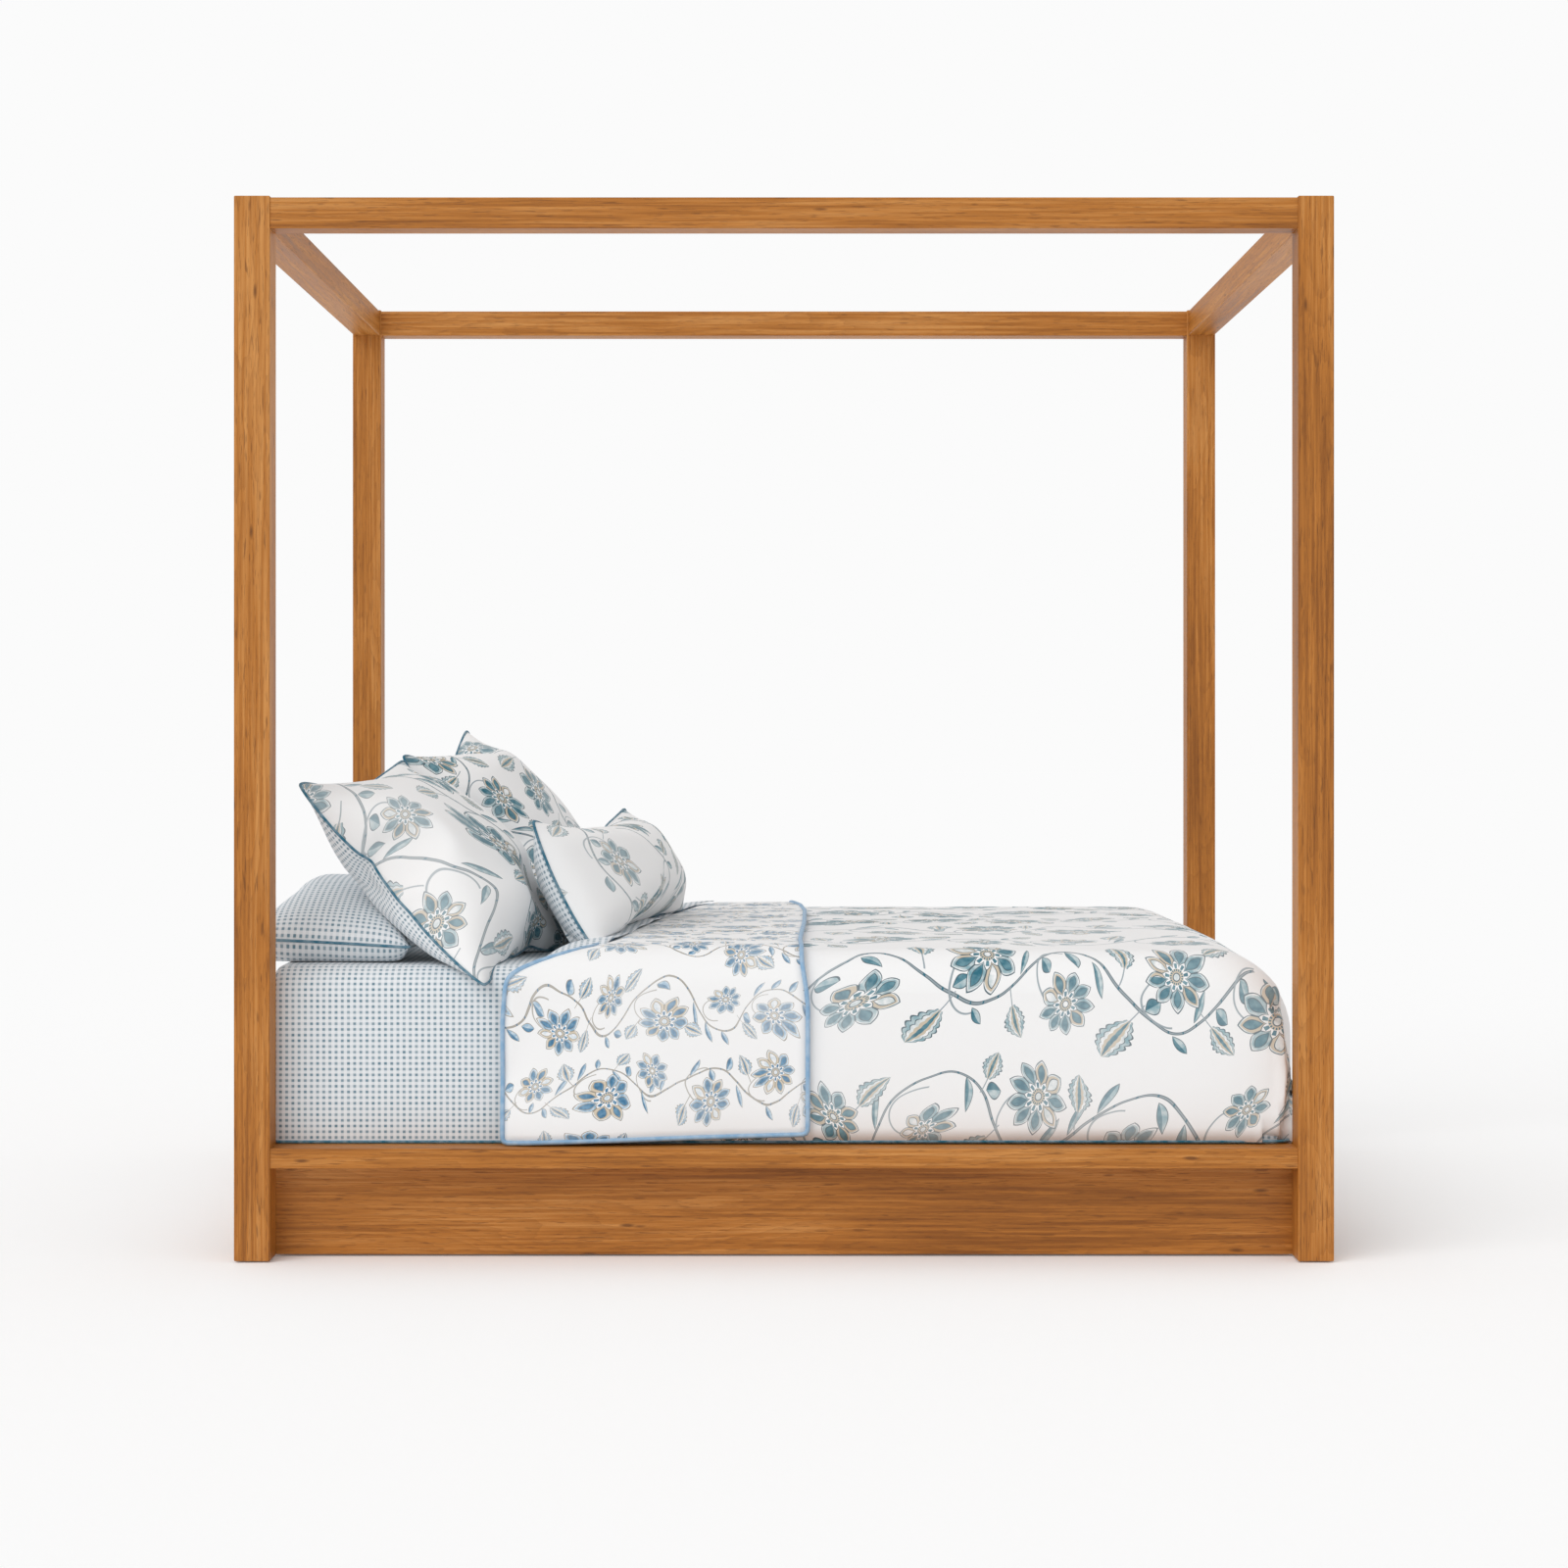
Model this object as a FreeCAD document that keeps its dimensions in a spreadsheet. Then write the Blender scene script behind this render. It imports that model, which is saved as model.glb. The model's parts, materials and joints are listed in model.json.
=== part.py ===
import FreeCAD, Part
import os
import Sketcher

# Four poster canopy bed, in millimetres.
# Origin: on the floor, below the middle of the four posts.
# +X runs from head to foot, +Y away from the left side, +Z up.
# Left and right are as seen by someone standing at the foot, looking to the head.

Vector, Rotation, Placement = FreeCAD.Vector, FreeCAD.Rotation, FreeCAD.Placement

doc = FreeCAD.newDocument("canopyBed")
sheet = doc.addObject("Spreadsheet::Sheet", "dims")

driving = {
    # overall
    "bedLength": 2200, "bedWidth": 1670, "bedHeight": 2134,
    "postSide": 72, "postEase": 2.5, "timberEase": 2,
    "glideThick": 3, "glideRadius": 20, "glideStemRadius": 4, "glideStemLength": 16,
    # canopy rails
    "railReveal": 3, "railTall": 62, "railDrop": 3,
    # plinth and ledge
    "ledgeTop": 228, "ledgeThick": 40, "ledgeWide": 132, "ledgeReveal": 3,
    "endLedgeWide": 117, "rabbetWide": 20,
    "panelThick": 22, "panelFloorGap": 4, "blockSide": 45, "blockTall": 150, "blockTopGap": 8,
    # slats, beam and legs
    "slatWide": 90, "slatThick": 18, "slatEndGap": 1, "slatPitch": 150,
    "beamWide": 38, "beamTall": 90, "beamNotchGap": 1, "legSide": 50, "legPitch": 600,
    "steelThick": 3, "hangerLong": 45, "hangerTopGap": 3, "hangerFlange": 30, "hangerGap": 0.5,
    # fasteners
    "boltRadius": 4, "boltHoleRadius": 4.5, "boltReach": 100,
    "headRadius": 7, "headThick": 5, "coverRadius": 9.9, "coverThick": 4, "coverInset": 0.5,
    "counterRadius": 10, "counterDeep": 12,
    "nutRadius": 5, "nutLong": 14, "nutSetback": 60,
    "dowelRadius": 5, "dowelLong": 56, "dowelApart": 14, "dowelEndGap": 1, "locatorDrop": 16,
    "baseDowelRadius": 4, "baseDowelLong": 36, "sideDowelPitch": 450, "endDowelPitch": 480,
    "panelBoltLow": 60, "panelBoltHigh": 140, "insertRadius": 6, "insertLong": 18, "insertInset": 1,
    "panelBoltReach": 45, "panelHeadRadius": 8, "panelHeadThick": 4.5,
    "screwRadius": 2, "screwHeadRadius": 4, "screwHeadThick": 2.5, "screwReach": 31,
    "blockScrewRadius": 2.5, "blockScrewHead": 4.5, "blockScrewReach": 60,
    "hangerScrewReach": 18,
    # bedding
    "mattressEndGap": 12, "mattressSideGap": 1, "mattressHeadShift": 20, "mattressTall": 356,
    "mattressHeadRadius": 20, "mattressFootRadius": 150, "mattressSideRadius": 50,
    "sheetThick": 2, "sheetHemGap": 1,
    "duvetTop": 28, "duvetSide": 11, "duvetFoot": 47, "duvetHead": 560, "duvetHemGap": 5,
    "duvetFootRadius": 180, "duvetSideRadius": 80,
    "cuffTop": 12, "cuffSide": 11, "cuffHead": 567, "cuffFoot": 43, "cuffHemGap": 3, "cuffSideRadius": 72,
    "cuffNearIn": 95, "cuffNearX": 408, "cuffBendIn": 220, "cuffMidX": 338, "cuffMidY": 35,
    "cuffFarX": 238, "foldWide": 62, "foldThick": 16, "foldGap": 2, "foldInset": 30,
    # pillows: a place along X is measured from the head posts' outer face
    "sleeperLong": 316, "sleeperThick": 176, "sleeperHeadGap": 6, "sleeperSideGap": 73,
    "sleeperGap": 26, "pillowEdge": 12,
    "shamTall": 560, "shamThick": 150, "shamTuck": 344, "shamYaw": 9,
    "shamLeftX": 355, "shamLeftSideGap": 50, "shamLeftRise": 202, "shamLeftLean": 44,
    "shamRightX": 445, "shamRightSideGap": 190, "shamRightRise": 228, "shamRightLean": 52,
    "lumbarTall": 280, "lumbarTuck": 594, "lumbarThick": 126, "lumbarLean": 62, "lumbarYaw": 8.5,
    "lumbarX": 709, "lumbarSkew": 120, "lumbarRise": 172,
}
for row, (word, size) in enumerate(driving.items(), 1):
    sheet.set("A%d" % row, word)
    sheet.set("B%d" % row, str(size))
    sheet.setAlias("B%d" % row, word)
doc.recompute()

slatCount = 13
hair = 0.01                             # places closer than this are one place
legNames = ("head", "middle", "foot")
ends = {"head": -1, "foot": 1}          # sign of X
sides = {"left": -1, "right": 1}        # sign of Y


class Places(dict):
    """Formulas in the sheet's words, so that a place is written once and used by name."""
    def __getattr__(self, word):
        return self[word]


def formula(text):
    """Points every word of the sheet in a formula at the sheet."""
    words = text.replace("(", " ( ").replace(")", " ) ").split()
    return " ".join("dims." + word if word in driving else word for word in words)


def number(text):
    return float(sheet.evalExpression(formula(text)))


def signed(sign, text):
    return "%d * ( %s )" % (sign, text)


p = Places()
p["innerX"] = "( bedLength / 2 - postSide )"
p["innerY"] = "( bedWidth / 2 - postSide )"
p["postX"] = "( bedLength / 2 - postSide / 2 )"
p["postY"] = "( bedWidth / 2 - postSide / 2 )"
p["railDepth"] = "( postSide - 2 * railReveal )"
p["mattressLong"] = "( 2 * %s - 2 * mattressEndGap )" % p.innerX
p["mattressWide"] = "( 2 * %s - 2 * mattressSideGap )" % p.innerY
p["railMid"] = "( bedHeight - railDrop - railTall / 2 )"
p["ledgeLow"] = "( ledgeTop - ledgeThick )"
p["ledgeMid"] = "( ledgeTop - ledgeThick / 2 )"
p["ledgeFront"] = "( bedWidth / 2 - ledgeReveal )"
p["ledgeBack"] = "( bedWidth / 2 - ledgeReveal - ledgeWide )"
p["endLedgeOut"] = "( bedLength / 2 - ledgeReveal )"
p["endLedgeIn"] = "( bedLength / 2 - ledgeReveal - endLedgeWide )"
p["rabbetFloor"] = "( ledgeTop - slatThick )"
p["rabbetEdge"] = "( %s + rabbetWide )" % p.ledgeBack
p["sidePanelIn"] = "( %s - panelThick )" % p.innerY
p["endPanelIn"] = "( %s - panelThick )" % p.innerX
p["panelTall"] = "( %s - panelFloorGap )" % p.ledgeLow
p["beamTop"] = p.rabbetFloor
p["beamLow"] = "( %s - beamTall )" % p.rabbetFloor
p["hangerLow"] = "( %s - steelThick )" % p.beamLow
p["hangerTall"] = "( %s - hangerTopGap - %s )" % (p.ledgeLow, p.hangerLow)
p["hangerOutY"] = "( beamWide / 2 + hangerGap + steelThick )"
p["blockX"] = "( %s - blockSide / 2 )" % p.endPanelIn
p["blockY"] = "( %s - blockSide / 2 )" % p.sidePanelIn
p["blockLow"] = "( %s - blockTopGap - blockTall )" % p.ledgeLow
p["slatScrewY"] = "( ( %s + %s - slatEndGap ) / 2 )" % (p.ledgeBack, p.rabbetEdge)
p["bedTop"] = "( ledgeTop + mattressTall + sheetThick )"
p["duvetZ"] = "( %s + duvetTop )" % p.bedTop
p["cuffZ"] = "( %s + cuffTop )" % p.duvetZ

turns = {
    "+x": Rotation(Vector(0, 1, 0), 90), "-x": Rotation(Vector(0, 1, 0), -90),
    "+y": Rotation(Vector(1, 0, 0), -90), "-y": Rotation(Vector(1, 0, 0), 90),
    "+z": Rotation(), "-z": Rotation(Vector(1, 0, 0), 180),
}


def way(axis, sign):
    return ("+" if sign > 0 else "-") + axis


def bind(item, links):
    for name, text in links.items():
        item.setExpression(name, formula(text))


def place(item, spot):
    bind(item, {"Placement.Base." + axis: text for axis, text in zip("xyz", spot)})


def block(name, centre, size):
    """A box about a centre."""
    item = doc.addObject("Part::Box", name)
    bind(item, dict(zip(("Length", "Width", "Height"), size)))
    place(item, ["( %s ) - ( %s ) / 2" % pair for pair in zip(centre, size)])
    return item


def rod(name, start, direction, radius, length):
    """A round bar that starts at a point and runs along one of the six directions."""
    item = doc.addObject("Part::Cylinder", name)
    item.Placement = Placement(Vector(), turns[direction])
    bind(item, {"Radius": radius, "Height": length})
    place(item, start)
    return item


def joined(name, pieces):
    item = doc.addObject("Part::MultiFuse", name)
    item.Shapes = pieces
    return item


def grouped(name, pieces):
    item = doc.addObject("Part::Compound", name)
    item.Links = pieces
    return item


def carved(name, base, tools):
    item = doc.addObject("Part::Cut", name)
    item.Base = base
    item.Tool = tools[0] if len(tools) == 1 else joined(name + "Tools", tools)
    return item


def originPlane(body, role):
    return [plane for plane in body.Origin.OriginFeatures if plane.Role == role][0]


def outline(body, name, role, corners, bulges=None):
    """A closed outline in one of the body's origin planes. Each corner is held by its two
    formulas. bulges gives, for the side that leaves a corner, the formula of its arc's radius
    and a point that the arc passes."""
    sketch = body.newObject("Sketcher::SketchObject", name)
    sketch.AttachmentSupport = [(originPlane(body, role), "")]
    sketch.MapMode = "FlatFace"
    spots = [Vector(number(u), number(v), 0) for u, v in corners]
    flips = {}
    for index, spot in enumerate(spots):
        after = spots[(index + 1) % len(spots)]
        if bulges and index in bulges:
            through = Vector(*[number(text) for text in bulges[index][1]], 0)
            sketch.addGeometry(Part.ArcOfCircle(spot, through, after), False)
            flips[index] = not sketch.Geometry[index].StartPoint.isEqual(spot, hair)
        else:
            sketch.addGeometry(Part.LineSegment(spot, after), False)
            flips[index] = False
    first = lambda index: 2 if flips[index] else 1
    last = lambda index: 1 if flips[index] else 2
    for index in range(len(spots)):
        after = (index + 1) % len(spots)
        sketch.addConstraint(Sketcher.Constraint("Coincident", index, last(index), after, first(after)))
    for index, (u, v) in enumerate(corners):
        for kind, text in (("DistanceX", u), ("DistanceY", v)):
            held = sketch.addConstraint(
                Sketcher.Constraint(kind, -1, 1, index, first(index), number(text)))
            sketch.setExpression("Constraints[%d]" % held, formula(text))
    for index, (radius, _) in (bulges or {}).items():
        held = sketch.addConstraint(Sketcher.Constraint("Radius", index, number(radius)))
        sketch.setExpression("Constraints[%d]" % held, formula(radius))
    return sketch


def padded(body, name, sketch, length, midplane=True):
    pad = body.newObject("PartDesign::Pad", name)
    pad.Profile = sketch
    pad.Midplane = midplane
    bind(pad, {"Length": length})
    doc.recompute()
    return pad


def eased(body, name, base, radius, wanted):
    """Rounds the edges of base for which wanted(edge) is true."""
    names = ["Edge%d" % (i + 1) for i, edge in enumerate(base.Shape.Edges) if wanted(edge)]
    fillet = body.newObject("PartDesign::Fillet", name)
    fillet.Base = (base, names)
    bind(fillet, {"Radius": radius})
    doc.recompute()
    return fillet


sectionPlane = {"x": "YZ_Plane", "y": "XZ_Plane", "z": "XY_Plane"}
grainWay = {"x": Vector(1, 0, 0), "y": Vector(0, 1, 0), "z": Vector(0, 0, 1)}


def timber(name, grain, centre, across, tall, length, ease="timberEase"):
    """A planed board or post: a rectangular section run along the grain, long edges eased."""
    body = doc.addObject("PartDesign::Body", name)
    u, v = "( %s ) / 2" % across, "( %s ) / 2" % tall
    corners = [("-1 * " + u, "-1 * " + v), (u, "-1 * " + v), (u, v), ("-1 * " + u, v)]
    pad = padded(body, name + "Pad", outline(body, name + "Section", sectionPlane[grain], corners), length)
    if ease:
        eased(body, name + "Ease", pad, ease,
              lambda edge: abs(edge.tangentAt(edge.FirstParameter).dot(grainWay[grain])) > 1 - hair)
    place(body, centre)
    return body


parts = []


def keep(item, label):
    item.Label = label
    parts.append(item)
    return item


# ---- fasteners: each bar is bored into the pieces that it passes, and grouped at the end ----

fasteners = {name: [] for name in (
    "canopy_dowels", "rail_bolts", "barrel_nuts", "bolt_covers", "panel_bolts", "threaded_inserts",
    "base_dowels", "block_screws", "slat_screws", "hanger_screws", "floor_glides")}
bores = {}          # name of a piece -> the tools that cut it


def bore(piece, tool):
    bores.setdefault(piece, []).append(tool)


def dowel(group, tag, hosts, middle, axis, radius, length, gap="dowelEndGap"):
    """A dowel about its middle, and a blind hole for it in each host, longer by the glue gap."""
    def start(extra):
        spot = list(middle)
        spot["xyz".index(axis)] = "( %s ) - ( %s ) / 2 - ( %s )" % (middle["xyz".index(axis)], length, extra)
        return spot
    fasteners[group].append(rod(tag, start("0"), "+" + axis, radius, length))
    for host in hosts:
        bore(host, rod("%s_in_%s" % (tag, host), start(gap), "+" + axis, radius,
                       "%s + 2 * %s" % (length, gap)))


def canopyJoints(end, side):
    """At a post's top: the end rail's two dowels, and the side rail's locating dowel and bolt."""
    sx, sy = ends[end], sides[side]
    tag = end + "_" + side
    post = "post_" + tag
    for level, name in ((1, "Upper"), (-1, "Lower")):
        dowel("canopy_dowels", "dowel%s_%s" % (name, tag), (post, "canopy_rail_" + end),
              [signed(sx, p.postX), signed(sy, p.innerY), "%s + %d * dowelApart" % (p.railMid, level)],
              "y", "dowelRadius", "dowelLong")
    dowel("canopy_dowels", "dowelLocator_" + tag, (post, "canopy_rail_" + side),
          [signed(sx, p.innerX), signed(sy, p.postY), "%s - locatorDrop" % p.railMid],
          "x", "dowelRadius", "dowelLong")

    line = [signed(sy, p.postY), p.railMid]
    inward = way("x", -sx)
    outer = "bedLength / 2"
    seat = "( bedLength / 2 - counterDeep )"
    head = rod("boltHead_" + tag, [signed(sx, seat + " + headThick")] + line, inward,
               "headRadius", "headThick")
    shank = rod("boltShank_" + tag, [signed(sx, seat)] + line, inward, "boltRadius",
                "postSide - counterDeep + boltReach")
    fasteners["rail_bolts"].append(joined("railBolt_" + tag, [head, shank]))
    fasteners["bolt_covers"].append(
        rod("boltCover_" + tag, [signed(sx, outer + " - coverInset")] + line, inward,
            "coverRadius", "coverThick"))
    bore(post, rod("counterbore_" + tag, [signed(sx, outer)] + line, inward, "counterRadius", "counterDeep"))
    bore(post, rod("boltHole_" + tag, [signed(sx, outer)] + line, inward, "boltHoleRadius", "postSide"))
    bore("canopy_rail_" + side,
         rod("boltRun_" + tag, [signed(sx, p.innerX)] + line, inward, "boltHoleRadius",
             "boltReach + dowelEndGap"))

    nutX = signed(sx, p.innerX + " - nutSetback")
    nutTop = "( %s + nutLong / 2 )" % p.railMid
    nut = rod("nutBlank_" + tag, [nutX, line[0], nutTop], "-z", "nutRadius", "nutLong")
    thread = rod("nutThread_" + tag, [signed(sx, p.innerX + " - nutSetback + nutRadius"), line[0], p.railMid],
                 inward, "boltRadius", "2 * nutRadius")
    fasteners["barrel_nuts"].append(carved("barrelNut_" + tag, nut, [thread]))
    bore("canopy_rail_" + side,
         rod("nutHole_" + tag, [nutX, line[0], "bedHeight"], "-z", "nutRadius",
             "bedHeight - %s + nutLong" % nutTop))


def plinthJoints(end, side):
    """At a post's foot: bolts from the side panel into inserts, ledge dowels, and the glide."""
    sx, sy = ends[end], sides[side]
    tag = end + "_" + side
    post = "post_" + tag
    outward = way("y", sy)
    for level in ("panelBoltLow", "panelBoltHigh"):
        name = level[9:] + "_" + tag
        spotX = signed(sx, p.postX)
        head = rod("panelHead" + name, [spotX, signed(sy, p.sidePanelIn + " - panelHeadThick"), level],
                   outward, "panelHeadRadius", "panelHeadThick")
        shank = rod("panelShank" + name, [spotX, signed(sy, p.sidePanelIn), level],
                    outward, "boltRadius", "panelBoltReach")
        fasteners["panel_bolts"].append(joined("panelBolt" + name, [head, shank]))
        bore("side_panel_" + side, rod("panelHole" + name, [spotX, signed(sy, p.sidePanelIn), level],
                                       outward, "boltHoleRadius", "panelThick"))
        bore(post, rod("insertHole" + name, [spotX, signed(sy, p.innerY), level], outward,
                       "insertRadius", "panelBoltReach - panelThick + insertInset"))
        sleeve = rod("insertBlank" + name, [spotX, signed(sy, p.innerY + " + insertInset"), level],
                     outward, "insertRadius", "insertLong")
        thread = rod("insertThread" + name, [spotX, signed(sy, p.innerY), level],
                     outward, "boltRadius", "insertLong + 2 * insertInset")
        fasteners["threaded_inserts"].append(carved("insert" + name, sleeve, [thread]))
    dowel("base_dowels", "ledgeEndX_" + tag, (post, "side_ledge_" + side),
          [signed(sx, p.innerX), signed(sy, p.postY), p.ledgeMid], "x", "baseDowelRadius", "baseDowelLong")
    dowel("base_dowels", "ledgeEndY_" + tag, (post, "end_ledge_" + end),
          [signed(sx, p.postX), signed(sy, p.innerY), p.ledgeMid], "y", "baseDowelRadius", "baseDowelLong")
    glide(tag, post, signed(sx, p.postX), signed(sy, p.postY))


def glide(tag, host, spotX, spotY):
    disc = rod("glideDisc_" + tag, [spotX, spotY, "0"], "+z", "glideRadius", "glideThick")
    stem = rod("glideStem_" + tag, [spotX, spotY, "glideThick"], "+z", "glideStemRadius", "glideStemLength")
    fasteners["floor_glides"].append(joined("glide_" + tag, [disc, stem]))
    bore(host, rod("glideHole_" + tag, [spotX, spotY, "glideThick"], "+z", "glideStemRadius",
                   "glideStemLength + dowelEndGap"))


def screw(group, tag, seat, direction, radius, headRadius, headThick, reach, sunk):
    """A screw whose head's underside is at seat, or sunk below the surface at seat."""
    axis, sign = "xyz".index(direction[1]), 1 if direction[0] == "+" else -1
    top = list(seat)
    if not sunk:
        top[axis] = "( %s ) - %d * ( %s )" % (seat[axis], sign, headThick)
    under = list(top)
    under[axis] = "( %s ) + %d * ( %s )" % (top[axis], sign, headThick)
    shank = "( %s ) - ( %s )" % (reach, headThick) if sunk else reach
    head = rod("head" + tag, top, direction, headRadius, headThick)
    bar = rod("bar" + tag, under, direction, radius, shank)
    fasteners[group].append(joined("screw" + tag, [head, bar]))
    return rod("headHole" + tag, top, direction, headRadius, headThick) if sunk else None, under, shank


def cornerBlock(end, side):
    sx, sy = ends[end], sides[side]
    tag = end + "_" + side
    host = "corner_block_" + tag
    faceX = signed(sx, p.endPanelIn + " - blockSide")
    faceY = signed(sy, p.sidePanelIn + " - blockSide")
    for share in (1, 3):
        levelY = "%s + blockTall * %d / 5" % (p.blockLow, share)
        levelX = "%s + blockTall * %d / 5" % (p.blockLow, share + 1)
        toSide = [signed(sx, p.blockX), faceY, levelY]
        toEnd = [faceX, signed(sy, p.blockY), levelX]
        for seat, direction, panel in ((toSide, way("y", sy), "side_panel_" + side),
                                       (toEnd, way("x", sx), "end_panel_" + end)):
            name = "Block%d%s_%s" % (share, direction[1], tag)
            screw("block_screws", name, seat, direction, "blockScrewRadius", "blockScrewHead",
                  "screwHeadThick", "blockScrewReach", False)
            for piece in (host, panel):
                bore(piece, rod("hole%s_%s" % (name, piece), seat, direction, "blockScrewRadius",
                                "blockScrewReach + dowelEndGap"))


for end in ends:
    for side in sides:
        canopyJoints(end, side)
        plinthJoints(end, side)
        cornerBlock(end, side)

# dowels that seat the ledges on the panels
for side, sy in sides.items():
    for step in range(-2, 3):
        dowel("base_dowels", "sideLedgeDowel%d_%s" % (step + 2, side),
              ("side_panel_" + side, "side_ledge_" + side),
              ["%d * sideDowelPitch" % step, signed(sy, p.innerY + " - panelThick / 2"), p.ledgeLow],
              "z", "baseDowelRadius", "baseDowelLong")
for end, sx in ends.items():
    for step in range(-1, 2):
        dowel("base_dowels", "endLedgeDowel%d_%s" % (step + 1, end),
              ("end_panel_" + end, "end_ledge_" + end),
              [signed(sx, p.innerX + " - panelThick / 2"), "%d * endDowelPitch" % step, p.ledgeLow],
              "z", "baseDowelRadius", "baseDowelLong")


def finished(label, blank):
    """Cuts a piece's own holes, gives it its name and keeps it."""
    return keep(carved(label + "Bored", blank, bores[label]) if label in bores else blank, label)


# ---- posts and canopy ----

for end, sx in ends.items():
    for side, sy in sides.items():
        label = "post_%s_%s" % (end, side)
        blank = timber(label + "Blank", "z",
                       [signed(sx, p.postX), signed(sy, p.postY), "( bedHeight + glideThick ) / 2"],
                       "postSide", "postSide", "bedHeight - glideThick", None)
        eased(blank, label + "Ease", blank.Tip, "postEase", lambda edge: True)
        finished(label, blank)

for side, sy in sides.items():
    finished("canopy_rail_" + side,
             timber("canopyRailBlank_" + side, "x", ["0", signed(sy, p.postY), p.railMid],
                    p.railDepth, "railTall", "2 * " + p.innerX))
for end, sx in ends.items():
    finished("canopy_rail_" + end,
             timber("canopyRailBlank_" + end, "y", [signed(sx, p.postX), "0", p.railMid],
                    p.railDepth, "railTall", "2 * " + p.innerY))

# ---- slats, their screws, and the ledges that carry them ----

for index in range(slatCount):
    spot = "%d * slatPitch" % (index - slatCount // 2)
    label = "slat_%02d" % (index + 1)
    for side, sy in sides.items():
        name = "Slat%02d_%s" % (index + 1, side)
        seat = [spot, signed(sy, p.slatScrewY), "ledgeTop"]
        sink, under, shank = screw("slat_screws", name, seat, "-z", "screwRadius", "screwHeadRadius",
                                   "screwHeadThick", "screwReach", True)
        bore(label, sink)
        for piece in (label, "side_ledge_" + side):
            bore(piece, rod("hole%s_%s" % (name, piece), under, "-z", "screwRadius",
                            shank + " + dowelEndGap"))
    finished(label, timber(label + "Blank", "y", [spot, "0", "ledgeTop - slatThick / 2"],
                           "slatWide", "slatThick", "2 * ( %s - slatEndGap )" % p.rabbetEdge))

for side, sy in sides.items():
    body = doc.addObject("PartDesign::Body", "sideLedge_" + side)
    back, front, step = p.ledgeBack, p.ledgeFront, p.rabbetEdge
    corners = [(back, p.ledgeLow), (front, p.ledgeLow), (front, "ledgeTop"),
               (step, "ledgeTop"), (step, p.rabbetFloor), (back, p.rabbetFloor)]
    corners = [(signed(sy, u), v) for u, v in corners]
    pad = padded(body, "sideLedgePad_" + side,
                 outline(body, "sideLedgeSection_" + side, "YZ_Plane", corners), "2 * " + p.innerX)
    frontY = number(signed(sy, front))
    eased(body, "sideLedgeEase_" + side, pad, "timberEase",
          lambda edge: abs(edge.BoundBox.YMin - frontY) < hair and abs(edge.BoundBox.YMax - frontY) < hair
          and edge.BoundBox.XLength > 1)
    finished("side_ledge_" + side, body)

for end, sx in ends.items():
    # a T: its inner part fits between the side ledges, its outer part runs from post to post
    body = doc.addObject("PartDesign::Body", "endLedge_" + end)
    corners = [(p.endLedgeIn, "-1 * " + p.ledgeBack), (p.innerX, "-1 * " + p.ledgeBack),
               (p.innerX, "-1 * " + p.innerY), (p.endLedgeOut, "-1 * " + p.innerY),
               (p.endLedgeOut, p.innerY), (p.innerX, p.innerY),
               (p.innerX, p.ledgeBack), (p.endLedgeIn, p.ledgeBack)]
    corners = [(signed(sx, u), v) for u, v in corners]
    pad = padded(body, "endLedgePad_" + end,
                 outline(body, "endLedgeSection_" + end, "XY_Plane", corners), "ledgeThick")
    outX = number(signed(sx, p.endLedgeOut))
    eased(body, "endLedgeEase_" + end, pad, "timberEase",
          lambda edge: abs(edge.BoundBox.XMin - outX) < hair and abs(edge.BoundBox.XMax - outX) < hair
          and edge.BoundBox.YLength > 1)
    place(body, ["0", "0", p.ledgeMid])
    finished("end_ledge_" + end, body)

# ---- plinth: beam hangers, panels, corner blocks, legs and beam ----

for end, sx in ends.items():
    label = "beam_hanger_" + end
    midX = signed(sx, p.endPanelIn + " - hangerLong / 2")
    flangeX = signed(sx, p.endPanelIn + " - steelThick / 2")
    hangerMid = "%s + %s / 2" % (p.hangerLow, p.hangerTall)
    plates = [block(label + "Floor", [midX, "0", p.hangerLow + " + steelThick / 2"],
                    ["hangerLong", "2 * " + p.hangerOutY, "steelThick"])]
    for side, sy in sides.items():
        plates.append(block(label + "Cheek_" + side,
                            [midX, signed(sy, p.hangerOutY + " - steelThick / 2"), hangerMid],
                            ["hangerLong", "steelThick", p.hangerTall]))
        plates.append(block(label + "Flange_" + side,
                            [flangeX, signed(sy, p.hangerOutY + " + hangerFlange / 2"), hangerMid],
                            ["steelThick", "hangerFlange", p.hangerTall]))
        for share in (1, 3):
            name = "Hanger%d_%s_%s" % (share, end, side)
            seat = [signed(sx, p.endPanelIn + " - steelThick"),
                    signed(sy, p.hangerOutY + " + hangerFlange / 2"),
                    "%s + %s * %d / 4" % (p.hangerLow, p.hangerTall, share)]
            screw("hanger_screws", name, seat, way("x", sx), "screwRadius", "screwHeadRadius",
                  "screwHeadThick", "hangerScrewReach", False)
            for piece in (label, "end_panel_" + end):
                bore(piece, rod("hole%s_%s" % (name, piece), seat, way("x", sx), "screwRadius",
                                "hangerScrewReach + dowelEndGap"))
    finished(label, joined(label + "Blank", plates))

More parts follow.
